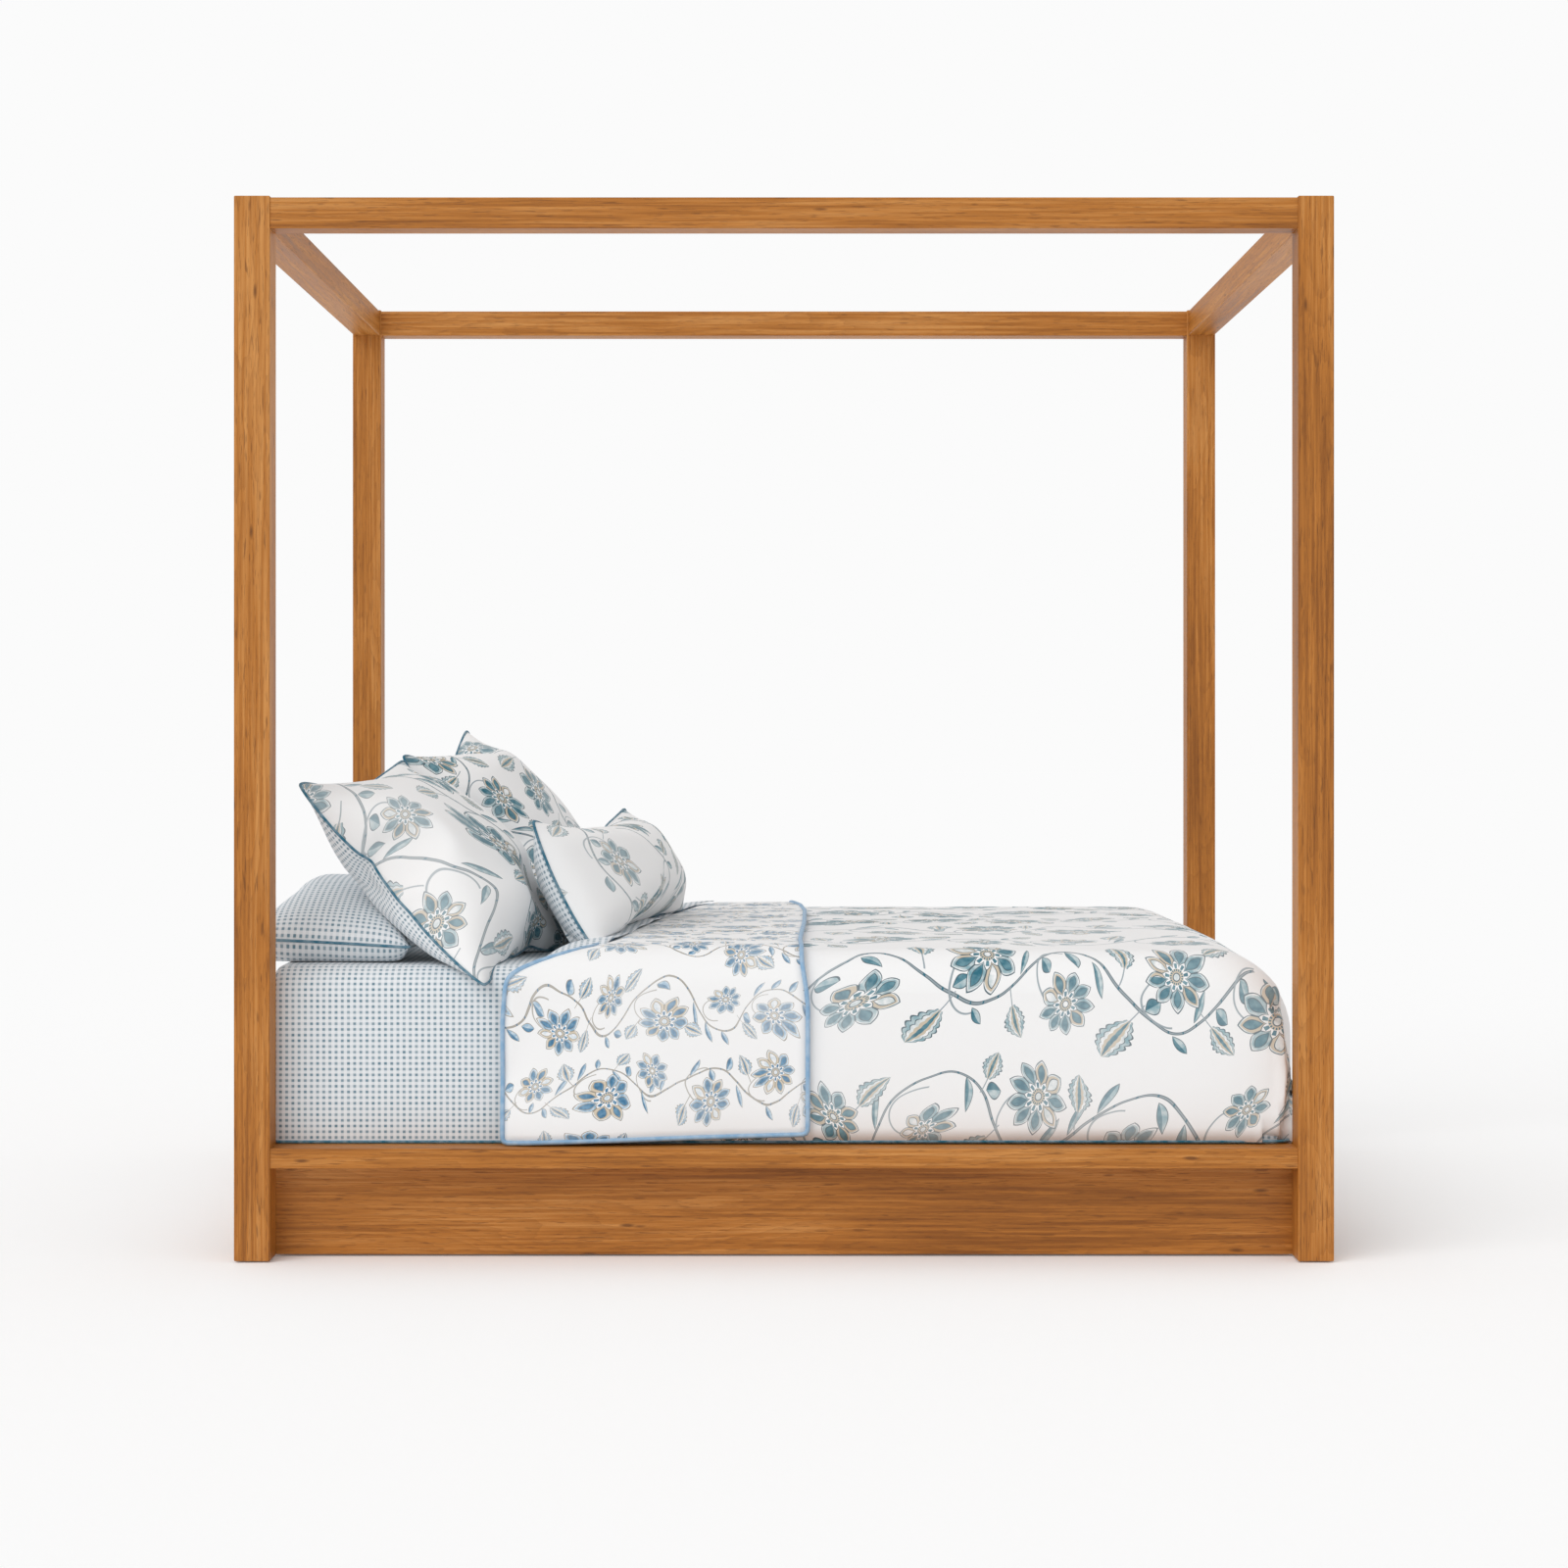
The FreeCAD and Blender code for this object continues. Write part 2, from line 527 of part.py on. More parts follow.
panelMid = "( panelFloorGap + %s / 2 )" % p.panelTall
for side, sy in sides.items():
    finished("side_panel_" + side,
             timber("sidePanelBlank_" + side, "x",
                    ["0", signed(sy, p.innerY + " - panelThick / 2"), panelMid],
                    "panelThick", p.panelTall, "2 * " + p.endLedgeOut))
for end, sx in ends.items():
    finished("end_panel_" + end,
             timber("endPanelBlank_" + end, "y",
                    [signed(sx, p.innerX + " - panelThick / 2"), "0", panelMid],
                    "panelThick", p.panelTall, "2 * " + p.sidePanelIn))
    for side, sy in sides.items():
        label = "corner_block_%s_%s" % (end, side)
        finished(label, timber(label + "Blank", "z",
                               [signed(sx, p.blockX), signed(sy, p.blockY), p.blockLow + " + blockTall / 2"],
                               "blockSide", "blockSide", "blockTall"))

for position, name in enumerate(legNames):
    spot = "%d * legPitch" % (position - 1)
    dowel("base_dowels", "legDowel_" + name, ("centre_leg_" + name, "centre_beam"),
          [spot, "0", p.beamLow], "z", "baseDowelRadius", "baseDowelLong")
    glide("leg_" + name, "centre_leg_" + name, spot, "0")
    finished("centre_leg_" + name,
             timber("legBlank_" + name, "z", [spot, "0", "( %s + glideThick ) / 2" % p.beamLow],
                    "legSide", "legSide", p.beamLow + " - glideThick"))

beam = doc.addObject("PartDesign::Body", "beamBlank")
# each end is notched under the end ledge, which hangs lower than the slats
notchFloor = "( %s - beamNotchGap )" % p.ledgeLow
notchX = "( %s - beamNotchGap )" % p.endLedgeIn
halfProfile = [(p.endPanelIn, p.beamLow), (p.endPanelIn, notchFloor),
               (notchX, notchFloor), (notchX, p.beamTop)]
corners = halfProfile + [("-1 * " + u, v) for u, v in reversed(halfProfile)]
padded(beam, "beamPad", outline(beam, "beamProfile", "XZ_Plane", corners), "beamWide")
finished("centre_beam", beam)

for name, pieces in fasteners.items():
    keep(grouped(name + "Group", pieces), name)


# ---- bedding ----

def slab(name, headX, footX, low, top, wide, headRadius, footRadius, sideRadius):
    """A soft slab: its side view has rounded upper corners, and its sides' rims are rounded."""
    body = doc.addObject("PartDesign::Body", name)
    arcInset = 1 - 0.5 ** 0.5           # how far an arc's middle lies in from its corner, for a radius of 1
    footIn, headIn = ("%s * %f" % (radius, arcInset) for radius in (footRadius, headRadius))
    corners = [(headX, low), (footX, low), (footX, "%s - %s" % (top, footRadius)),
               ("%s - %s" % (footX, footRadius), top), ("%s + %s" % (headX, headRadius), top),
               (headX, "%s - %s" % (top, headRadius))]
    bulges = {
        2: (footRadius, ("%s - %s" % (footX, footIn), "%s - %s" % (top, footIn))),
        4: (headRadius, ("%s + %s" % (headX, headIn), "%s - %s" % (top, headIn))),
    }
    pad = padded(body, name + "Pad", outline(body, name + "Profile", "XZ_Plane", corners, bulges), wide)
    lowZ, halfWide = number(low), number(wide) / 2
    eased(body, name + "Rim", pad, sideRadius,
          lambda edge: edge.BoundBox.YLength < hair and abs(abs(edge.BoundBox.YMin) - halfWide) < hair
          and edge.BoundBox.ZMax > lowZ + 1)
    return body


# the mattress is pushed up between the head posts, which leaves room for the tuck at the foot
mattressHead = "( -1 * %s / 2 - mattressHeadShift )" % p.mattressLong
mattressFoot = "( %s / 2 - mattressHeadShift )" % p.mattressLong
mattress = slab("mattressBody", mattressHead, mattressFoot, "ledgeTop", "( ledgeTop + mattressTall )",
                p.mattressWide, "mattressHeadRadius", "mattressFootRadius", "mattressSideRadius")
keep(mattress, "mattress")

sheetFoot = "( %s + sheetThick )" % mattressFoot
sheetOut = slab("sheetOuter", "( %s - sheetThick )" % mattressHead, sheetFoot, "( ledgeTop + sheetHemGap )",
                p.bedTop, "( %s + 2 * sheetThick )" % p.mattressWide, "( mattressHeadRadius + sheetThick )",
                "( mattressFootRadius + sheetThick )", "( mattressSideRadius + sheetThick )")
keep(carved("sheetShell", sheetOut, [mattress]), "fitted_sheet")


bendY = "( cuffBendIn - bedWidth / 2 )"          # where the duvet and cuff leave the near side


def bareHead(name, low):
    """The region towards the head that the duvet and its cuff leave bare on top of the bed.
    Its foot-side edge runs aslant across the bed."""
    body = doc.addObject("PartDesign::Body", name)
    headEnd = "( -1 * bedLength / 2 )"
    nearY = "( cuffNearIn - bedWidth / 2 )"
    corners = [(headEnd, nearY), ("-1 * cuffHead", nearY), ("-1 * cuffNearX", bendY),
               ("-1 * cuffMidX", "cuffMidY"), ("-1 * cuffFarX", "bedWidth / 2"), (headEnd, "bedWidth / 2")]
    padded(body, name + "Pad", outline(body, name + "Plan", "XY_Plane", corners), "bedHeight", False)
    place(body, ["0", "0", low])
    return body


bare = bareHead("bareHead", "ledgeTop")
duvetOut = slab("duvetOuter", "-1 * duvetHead", "( %s + duvetFoot )" % sheetFoot,
                "( ledgeTop + duvetHemGap )", p.duvetZ,
                "( %s + 2 * sheetThick + 2 * duvetSide )" % p.mattressWide,
                "duvetTop", "duvetFootRadius", "duvetSideRadius")
keep(carved("duvetShell", duvetOut, [sheetOut, bare]), "duvet")

cuff = doc.addObject("PartDesign::Body", "cuffOuter")
cuffHalf = "( %s / 2 + sheetThick + duvetSide + cuffSide )" % p.mattressWide
cuffLow = "( ledgeTop + cuffHemGap )"
corners = [("-1 * " + cuffHalf, cuffLow), (cuffHalf, cuffLow),
           (cuffHalf, p.cuffZ), ("-1 * " + cuffHalf, p.cuffZ)]
cuffPad = padded(cuff, "cuffPad", outline(cuff, "cuffSection", "YZ_Plane", corners), "cuffHead + cuffFoot")
topZ = number(p.cuffZ)
eased(cuff, "cuffRim", cuffPad, "cuffSideRadius",
      lambda edge: edge.BoundBox.XLength > 1 and edge.BoundBox.ZMin > topZ - 1)
place(cuff, ["( cuffFoot - cuffHead ) / 2", "0", "0"])
keep(carved("cuffShell", cuff, [duvetOut, sheetOut, bare]), "coverlet")

# the folded top sheet that shows along the cuff's head-side edge
fold = doc.addObject("PartDesign::Body", "foldBody")
farY = "( %s / 2 - foldInset - mattressSideRadius )" % p.mattressWide
edgeRun = [("( -1 * cuffNearX - foldGap )", bendY), ("( -1 * cuffMidX - foldGap )", "cuffMidY"),
           ("( -1 * cuffFarX - foldGap - foldInset )", farY)]
corners = edgeRun + [("%s - foldWide" % u, v) for u, v in reversed(edgeRun)]
foldPad = padded(fold, "foldPad", outline(fold, "foldPlan", "XY_Plane", corners), "foldThick", False)
eased(fold, "foldRim", foldPad, "foldThick / 3", lambda edge: edge.BoundBox.ZMin > number("foldThick") - hair)
place(fold, ["0", "0", p.bedTop])
keep(fold, "top_sheet")


def pillow(label, tall, wide, thick, centre, yaw, lean):
    """A plumped pillow: two lens prisms that cross, so every edge is thin and the middle is full.
    Before it is turned it lies flat: tall runs along X, wide along Y."""
    def lens(tag, role, chord, length):
        body = doc.addObject("PartDesign::Body", label + tag)
        half, edge, crown = "( %s / 2 )" % chord, "( pillowEdge / 2 )", "( %s / 2 )" % thick
        swell = "( %s - %s )" % (crown, edge)
        radius = "( ( %s * %s + %s * %s ) / ( 2 * %s ) )" % (half, half, swell, swell, swell)
        corners = [("-1 * " + half, "-1 * " + edge), (half, "-1 * " + edge),
                   (half, edge), ("-1 * " + half, edge)]
        bulges = {0: (radius, ("0", "-1 * " + crown)), 2: (radius, ("0", crown))}
        padded(body, label + tag + "Pad", outline(body, label + tag + "Lens", role, corners, bulges), length)
        return body
    item = doc.addObject("Part::Common", label + "Form")
    item.Base = lens("Side", "XZ_Plane", tall, wide)
    item.Tool = lens("End", "YZ_Plane", wide, tall)
    item.Placement = Placement(Vector(), Rotation(Vector(0, 0, 1), yaw) * Rotation(Vector(0, 1, 0), lean))
    place(item, centre)
    return keep(item, label)


headFace = "( -1 * bedLength / 2 )"
sleeperWide = "( ( %s - sleeperGap ) / 2 - sleeperSideGap )" % p.mattressWide
for side, sy in sides.items():
    pillow("sleeping_pillow_" + side, "sleeperLong", sleeperWide, "sleeperThick",
           [headFace + " + sleeperHeadGap + sleeperLong / 2",
            signed(sy, "( %s + sleeperGap ) / 2" % sleeperWide),
            p.bedTop + " + sleeperThick / 2 + foldGap"], 0, 0)
shamWide = "( ( %s - shamTuck ) / 2 )" % p.mattressWide
for side, sy in sides.items():
    word = "sham" + side.capitalize()
    pillow("euro_sham_" + side, "shamTall", shamWide, "shamThick",
           ["%s + %sX" % (headFace, word),
            signed(sy, "bedWidth / 2 - %sSideGap - %s / 2" % (word, shamWide)),
            "%s + %sRise" % (p.bedTop, word)], -number("shamYaw"), number(word + "Lean"))
pillow("lumbar_pillow", "lumbarTall", "( %s - lumbarTuck )" % p.mattressWide, "lumbarThick",
       [headFace + " + lumbarX", "-1 * lumbarSkew", p.bedTop + " + lumbarRise"],
       -number("lumbarYaw"), number("lumbarLean"))

# ---- check everything, then write one file for each piece ----

doc.recompute()
for item in doc.Objects:
    if "Invalid" in item.State or "Error" in item.State:
        raise RuntimeError("%s: %s" % (item.Name, item.State))
labels = [item.Label for item in parts]
if len(set(labels)) != len(labels):
    raise RuntimeError("two pieces share a name")
for item in parts:
    if item.Shape.isNull() or not item.Shape.isValid() or not item.Shape.Solids:
        raise RuntimeError("%s has no sound solid" % item.Label)

os.makedirs("parts", exist_ok=True)
for item in parts:
    item.Shape.exportStep("parts/%s.step" % item.Label)
print("%d pieces, %d solids" % (len(parts), sum(len(item.Shape.Solids) for item in parts)))
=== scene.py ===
import bpy, bmesh, json, math
from functools import partial
from mathutils import Matrix, Vector, noise


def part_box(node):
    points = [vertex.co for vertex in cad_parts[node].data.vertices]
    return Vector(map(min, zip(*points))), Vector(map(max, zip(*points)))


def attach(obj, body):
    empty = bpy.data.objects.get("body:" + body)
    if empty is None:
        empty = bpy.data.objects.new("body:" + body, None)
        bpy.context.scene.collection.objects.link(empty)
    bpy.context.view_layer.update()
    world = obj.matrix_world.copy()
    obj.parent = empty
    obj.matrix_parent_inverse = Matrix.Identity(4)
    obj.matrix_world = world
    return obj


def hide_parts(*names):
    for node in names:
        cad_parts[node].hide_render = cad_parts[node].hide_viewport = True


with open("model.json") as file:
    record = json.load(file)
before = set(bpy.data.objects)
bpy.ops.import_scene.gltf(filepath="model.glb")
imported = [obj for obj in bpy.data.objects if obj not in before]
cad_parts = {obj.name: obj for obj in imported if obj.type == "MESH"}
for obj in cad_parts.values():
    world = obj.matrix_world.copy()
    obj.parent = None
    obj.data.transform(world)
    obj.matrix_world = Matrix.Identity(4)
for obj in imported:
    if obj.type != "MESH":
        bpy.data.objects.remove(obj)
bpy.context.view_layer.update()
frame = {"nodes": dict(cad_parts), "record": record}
scene = bpy.context.scene
print("frame loaded:", len(frame["nodes"]), "nodes")

# camera, light and floor
camera = {"place": (0, -6.625, 1.075), "lens": 66.5, "sensor": 36, "shiftY": -0.0375}
studio = {"backdrop": "#FBFBFB", "skyLight": 0.72, "sunTurn": (0.815, 0, -0.68), "sunWatts": 1.1,
          "sunSpread": 0.8, "floorSide": 120, "floorTone": "#F7F7F7", "floorGlow": 0.072}


def linear(hexText, alpha=1.0):
    # sRGB hex to the linear colour that shaders take
    parts = [int(hexText[i:i + 2], 16) / 255 for i in (1, 3, 5)]
    return tuple(c / 12.92 if c <= 0.04045 else ((c + 0.055) / 1.055) ** 2.4 for c in parts) + (alpha,)


signs = {"*": "MULTIPLY", "+": "ADD", "-": "SUBTRACT", "/": "DIVIDE", "<": "LESS_THAN", ">": "GREATER_THAN"}


def addNode(tree, kind, *inputs, **settings):
    # a node's kind, with an operation after a space, then its inputs in order, then its settings
    kind, _, operation = kind.partition(" ")
    made = tree.nodes.new("ShaderNode" + kind)
    if operation:
        made.operation = signs.get(operation, operation)
    byName = settings.pop("sockets", {})
    for key, value in settings.items():
        setattr(made, key, value)
    named = [(made.inputs[key], value) for key, value in byName.items()]
    for socket, value in list(zip(made.inputs, inputs)) + named:
        if isinstance(value, bpy.types.Node):
            tree.links.new(value.outputs[0], socket)
        elif isinstance(value, bpy.types.NodeSocket):
            tree.links.new(value, socket)
        elif value is not None:
            socket.default_value = value
    return made


def newMaterial(name, values):
    # a material whose shader has these values all over
    material = bpy.data.materials.new(name)
    material.use_nodes = True
    shader = material.node_tree.nodes["Principled BSDF"]
    for socket, value in values.items():
        shader.inputs[socket].default_value = value
    return material, material.node_tree, shader


def distance(put, x, y):
    # how far a place is from the middle of a pattern
    return put("Math SQRT", put("Math +", put("Math *", x, x), put("Math *", y, y)))


def placeCamera():
    data = bpy.data.cameras.new("camera")
    data.lens = camera["lens"]
    data.shift_y = camera["shiftY"]
    data.sensor_width = camera["sensor"]
    data.clip_end = 100
    made = bpy.data.objects.new("camera", data)
    made.location = camera["place"]
    made.rotation_euler = (math.pi / 2, 0, 0)
    scene.collection.objects.link(made)
    scene.camera = made
    print("camera placed")


def buildStudio():
    # the backdrop looks whiter than the light it gives
    world = bpy.data.worlds.new("studio")
    world.use_nodes = True
    tree = world.node_tree
    seen = addNode(tree, "Background", linear(studio["backdrop"]), 1.0)
    lights = addNode(tree, "Background", linear("#FFFFFF"), studio["skyLight"])
    both = addNode(tree, "MixShader", addNode(tree, "LightPath").outputs["Is Camera Ray"], lights, seen)
    tree.links.new(both.outputs[0], tree.nodes["World Output"].inputs[0])
    scene.world = world
    sun = bpy.data.lights.new("softSun", "SUN")
    sun.energy = studio["sunWatts"]
    sun.angle = studio["sunSpread"]
    holder = bpy.data.objects.new("softSun", sun)
    holder.rotation_euler = studio["sunTurn"]
    scene.collection.objects.link(holder)
    bm = bmesh.new()
    bmesh.ops.create_grid(bm, x_segments=1, y_segments=1, size=studio["floorSide"] / 2)
    floor = meshPiece("floor", bm)
    paint = {"Base Color": linear(studio["floorTone"]), "Roughness": 1.0, "Specular IOR Level": 0.0,
             "Emission Color": (1, 1, 1, 1), "Emission Strength": studio["floorGlow"]}
    floor.data.materials.append(newMaterial("floorPaint", paint)[0])
    scene.view_settings.view_transform = "Standard"
    print("studio made")


def meshPiece(name, bm, smooth=True):
    # a bmesh becomes an object at the origin
    for face in bm.faces:
        face.smooth = smooth
    mesh = bpy.data.meshes.new(name)
    bm.to_mesh(mesh)
    bm.free()
    made = bpy.data.objects.new(name, mesh)
    scene.collection.objects.link(made)
    return made


# satin lacquered oak, and the paler wood out of sight
oak = {"pale": "#CC8D4A", "body": "#B37029", "deep": "#8A5118", "pore": "#5E3410",
       "ringMm": 9, "poreMm": 1.5, "poreLongMm": 30, "roughness": 0.44, "bump": 0.3}
innerWood = {"pale": "#DCC298", "body": "#CBAA78", "deep": "#A98450", "pore": "#8A6A3E",
             "ringMm": 7, "poreMm": 1.6, "poreLongMm": 30, "roughness": 0.7, "bump": 0.2}
# how the log grew and was sawn
figure = {"ringSway": 0.16, "ringFlat": 0.55, "ringWobble": 0.009, "lateSharp": 2.4, "poreCut": (0.62, 0.70),
          "dashCut": (0.66, 0.73), "knotCell": (4.2, 17, 17), "knotEdge": (0.035, 0.085), "driftShare": 0.45,
          "toneEnds": (0.36, 0.64), "boardShift": (1.7, 0.61, 0.37)}
# each kind of streak: metres with the grain and across it, then its detail and roughness
streakSizes = {"drift": (1.1, 0.12, 2.0, 0.5), "bend": (0.75, 0.16, 2.0, 0.5),
               "wobble": (0.14, 0.016, 2.0, 0.5), "streaks": (0.30, 0.0062, 4.0, 0.6),
               "dashes": (0.055, 0.0042, 1.0, 0.5)}


def woodMaterial(name, finish, grain, seed):
    # flat-sawn hardwood under satin lacquer: rings about a pith beside the board give long
    # cathedral figure, short dark pores run with the grain, and pin knots break it here and there
    lacquer = {"IOR": 1.48, "Specular IOR Level": 0.35}
    material, tree, shader = newMaterial(name, lacquer)
    put = partial(addNode, tree)
    # turned so that the grain runs along X
    turn = {"x": (0, 0, 0), "y": (0, 0, -math.pi / 2), "z": (0, math.pi / 2, 0)}[grain]
    shift = [seed * step for step in figure["boardShift"]]
    place = put("Mapping", put("TexCoord").outputs["Object"], shift, turn)
    sizes = dict(streakSizes, pores=(finish["poreLongMm"] / 1000, finish["poreMm"] / 1000, 1.0, 0.5))
    grown = {}
    for word, (long, wide, detail, rough) in sizes.items():
        grown[word] = put("TexNoise", put("Mapping", place, None, None, (1 / long, 1 / wide, 1 / wide)),
                          sockets={"Scale": 1.0, "Detail": detail, "Roughness": rough})
    split = put("SeparateXYZ", place)
    sideways = put("Math +", split.outputs[1], put("Math *", grown["bend"], figure["ringSway"]))
    upward = put("Math *", split.outputs[2], figure["ringFlat"])
    shaken = put("Math *", grown["wobble"], figure["ringWobble"])
    rings = put("Math *", put("Math +", distance(put, sideways, upward), shaken), 1000 / finish["ringMm"])
    late = put("Math POWER", put("Math FRACT", rings), figure["lateSharp"])
    pores = put("MapRange", grown["pores"], *figure["poreCut"], 0.0, 1.0)
    dashes = put("MapRange", grown["dashes"], *figure["dashCut"], 0.0, 1.0)
    cells = put("TexVoronoi", put("Mapping", place, None, None, figure["knotCell"]), sockets={"Scale": 1.0})
    knots = put("MapRange", cells, *figure["knotEdge"], 1.0, 0.0)

    ramp = put("ValToRGB", put("Math +", put("Math *", grown["drift"], figure["driftShare"]),
                               put("Math *", grown["streaks"], 1 - figure["driftShare"])))
    stops = ramp.color_ramp.elements
    for stop, at, word in zip(stops, figure["toneEnds"], ("deep", "pale")):
        stop.position = at
        stop.color = linear(finish[word])
    stops.new(0.5).color = linear(finish["body"])
    tone = ramp.outputs[0]
    for mask, share, word in ((late, 0.30, "deep"), (pores, 0.42, "pore"), (dashes, 0.5, "pore"),
                              (knots, 0.75, "pore")):
        tone = put("Mix", put("Math *", mask, share), data_type="RGBA",
                   sockets={6: tone, 7: linear(finish[word])}).outputs[2]
    tree.links.new(tone, shader.inputs["Base Color"])
    middle = finish["roughness"]
    rough = put("MapRange", grown["streaks"], 0.3, 0.7, middle - 0.05, middle + 0.08)
    tree.links.new(rough.outputs[0], shader.inputs["Roughness"])
    height = put("Math -", put("Math *", late, 0.3), put("Math MAXIMUM", pores, dashes))
    bump = put("Bump", finish["bump"], 0.0006, sockets={"Height": height})
    tree.links.new(bump.outputs[0], shader.inputs["Normal"])
    return material


# fittings: name, colour, metallic, roughness, and tooling marks to the metre
fittings = {"steel": ("zincPlatedSteel", "#A9ABAE", 1.0, 0.34, 180),
            "brass": ("turnedBrass", "#C79A4B", 1.0, 0.36, 180),
            "glide_nylon": ("mouldedNylon", "#2C2723", 0.0, 0.6, 400)}


def fittingMaterial(name, hexText, metallic, roughness, marks):
    # zinc plated steel, turned brass or moulded nylon: fine tooling marks break up the gloss
    material, tree, shader = newMaterial(name, {"Base Color": linear(hexText), "Metallic": metallic})
    grit = addNode(tree, "TexNoise", addNode(tree, "TexCoord").outputs["Object"],
                   sockets={"Scale": marks, "Detail": 3})
    rough = addNode(tree, "MapRange", grit, 0.3, 0.7, roughness - 0.08, roughness + 0.1)
    tree.links.new(rough.outputs[0], shader.inputs["Roughness"])
    bump = addNode(tree, "Bump", 0.15, 0.0003, sockets={"Height": grit})
    tree.links.new(bump.outputs[0], shader.inputs["Normal"])
    return material


def dressFrame():
    # every hard node gets wood with the grain along its length, or its metal
    woods = {}
    slots = {part["node"]: part["material_slot"] for part in frame["record"]["subparts"]}
    metals = {slot: fittingMaterial(*finish) for slot, finish in fittings.items()}
    for name, piece in frame["nodes"].items():
        slot = slots[name]
        if slot in metals:
            material = metals[slot]
        elif slot in ("oak", "softwood", "dowel_beech"):
            low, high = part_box(name)
            size = high - low
            grain = "xyz"[max(range(3), key=lambda axis: size[axis])]
            key = (slot == "oak", grain)
            if key not in woods:
                woods[key] = woodMaterial(("honeyOak" if key[0] else "paleBeech") + grain.upper(),
                                          oak if key[0] else innerWood, grain, len(woods) + 1)
            material = woods[key]
        else:
            continue
        piece.data.materials.clear()
        piece.data.materials.append(material)
    print("frame dressed:", len(woods), "woods")


# printed and woven cotton
cotton = {"ground": "#F0F0F0", "weaveMm": 1.6, "roughness": 0.88, "sheen": 0.2, "bump": 0.15}
check = {"ground": "#E6E9EC", "dot": "#6B8896", "line": "#C3CED5", "acrossMm": 12.5, "downMm": 11.5,
         "dotShare": 0.46, "blur": 0.05}
# lengths in a print are shares of its repeat, which is in metres
largeFloral = {"repeat": 0.42, "shift": (0.0, -0.15, 0), "deep": "#2F6B7D", "fill": "#7FA5AF",
               "pale": "#C3CFD1", "warm": "#C9BCA8", "ink": "#4F646D", "stem": "#98A4AA",
               "stemWide": 0.0050, "bloom": (0.135, 0.060), "seed": 2.0}
smallFloral = {"repeat": 0.235, "shift": (0.1, 0.33, 0), "deep": "#447699", "fill": "#86AECA",
               "pale": "#CCD9E2", "warm": "#D2C6B2", "ink": "#9A9387", "stem": "#ABA79F",
               "stemWide": 0.0045, "bloom": (0.175, 0.040), "seed": 5.0}
vine = {"rowPitch": 0.68, "rowShift": 0.37, "sway": 0.7, "shake": 0.045, "wave": (0.09, 0.23), "soft": 0.003,
        "rim": 0.62, "joints": 13.0, "jointLong": 0.10}
stalk = {"x": 0.055, "y": -0.02, "radius": 0.125, "end": 0.02, "wide": 0.6}
smallLeaf = {"toRepeat": 8.0, "off": 0.056, "long": 0.056, "wide": 0.024, "share": 0.75, "line": 0.0035}
bigLeaf = {"off": 0.195, "offMore": 0.04, "long": 0.095, "wide": 0.058, "share": 0.72, "teeth": 11.0,
           "bite": 0.22, "stick": 1.9}
bloom = {"x": 0.012, "y": -0.10, "petals": 8.0, "tip": 0.36, "crown": 0.20, "eye": 0.22}
piping = {"teal": "#2A6880", "sky": "#86ABCB", "radius": 0.003}


def clothShader(name):
    # woven cotton percale: matt, with a faint nap and a thread relief
    matt = {"Roughness": cotton["roughness"], "Sheen Weight": cotton["sheen"], "Specular IOR Level": 0.2}
    material, tree, shader = newMaterial(name, matt)
    put = partial(addNode, tree)
    flat = put("UVMap", uv_map="cloth")
    # threads are drawn coarser than real ones, which would be too fine to show
    threads = put("TexNoise", put("Mapping", flat, None, None, (1000 / cotton["weaveMm"],) * 3),
                  sockets={"Scale": 1.0, "Detail": 2})
    creases = put("TexNoise", put("Mapping", flat, None, None, (11, 11, 11)),
                  sockets={"Scale": 1.0, "Detail": 3, "Distortion": 0.6})
    height = put("Math +", put("Math *", threads, 0.06), creases)
    bump = put("Bump", cotton["bump"], 0.006, sockets={"Height": height})
    tree.links.new(bump.outputs[0], shader.inputs["Normal"])
    return material, tree, shader, flat


def checkMaterial(name):
    # a woven dot check: small blue-grey squares on white, joined by fainter threads
    material, tree, shader, flat = clothShader(name)
    put = partial(addNode, tree)
    split = put("SeparateXYZ", flat)
    near = []
    half = check["dotShare"] / 2
    for axis, pitch in ((0, check["acrossMm"]), (1, check["downMm"])):
        cell = put("Math FRACT", put("Math *", split.outputs[axis], 1000 / pitch))
        near.append(put("MapRange", put("Math ABSOLUTE", put("Math -", cell, 0.5)),
                        half - check["blur"], half + check["blur"], 1.0, 0.0))
    dot = put("Math *", near[0], near[1])
    line = put("Math MAXIMUM", near[0], near[1])
    fade = put("TexNoise", put("Mapping", flat, None, None, (40, 40, 40)),
               sockets={"Scale": 1.0, "Detail": 3})
    strength = put("MapRange", fade, 0.35, 0.65, 0.68, 1.0)
    ground = put("Mix", put("Math *", line, 0.4), data_type="RGBA",
                 sockets={6: linear(check["ground"]), 7: linear(check["line"])})
    tone = put("Mix", put("Math *", dot, strength), data_type="RGBA",
               sockets={6: ground.outputs[2], 7: linear(check["dot"])})
    tree.links.new(tone.outputs[2], shader.inputs["Base Color"])
    return material


def turnedPlace(put, x, y, angle):
    # a leaf's own length and width, from its place and how far it is turned
    cosine = put("Math COSINE", angle)
    sine = put("Math SINE", angle)
    along = put("Math +", put("Math *", x, cosine), put("Math *", y, sine))
    across = put("Math -", put("Math *", y, cosine), put("Math *", x, sine))
    return along, across


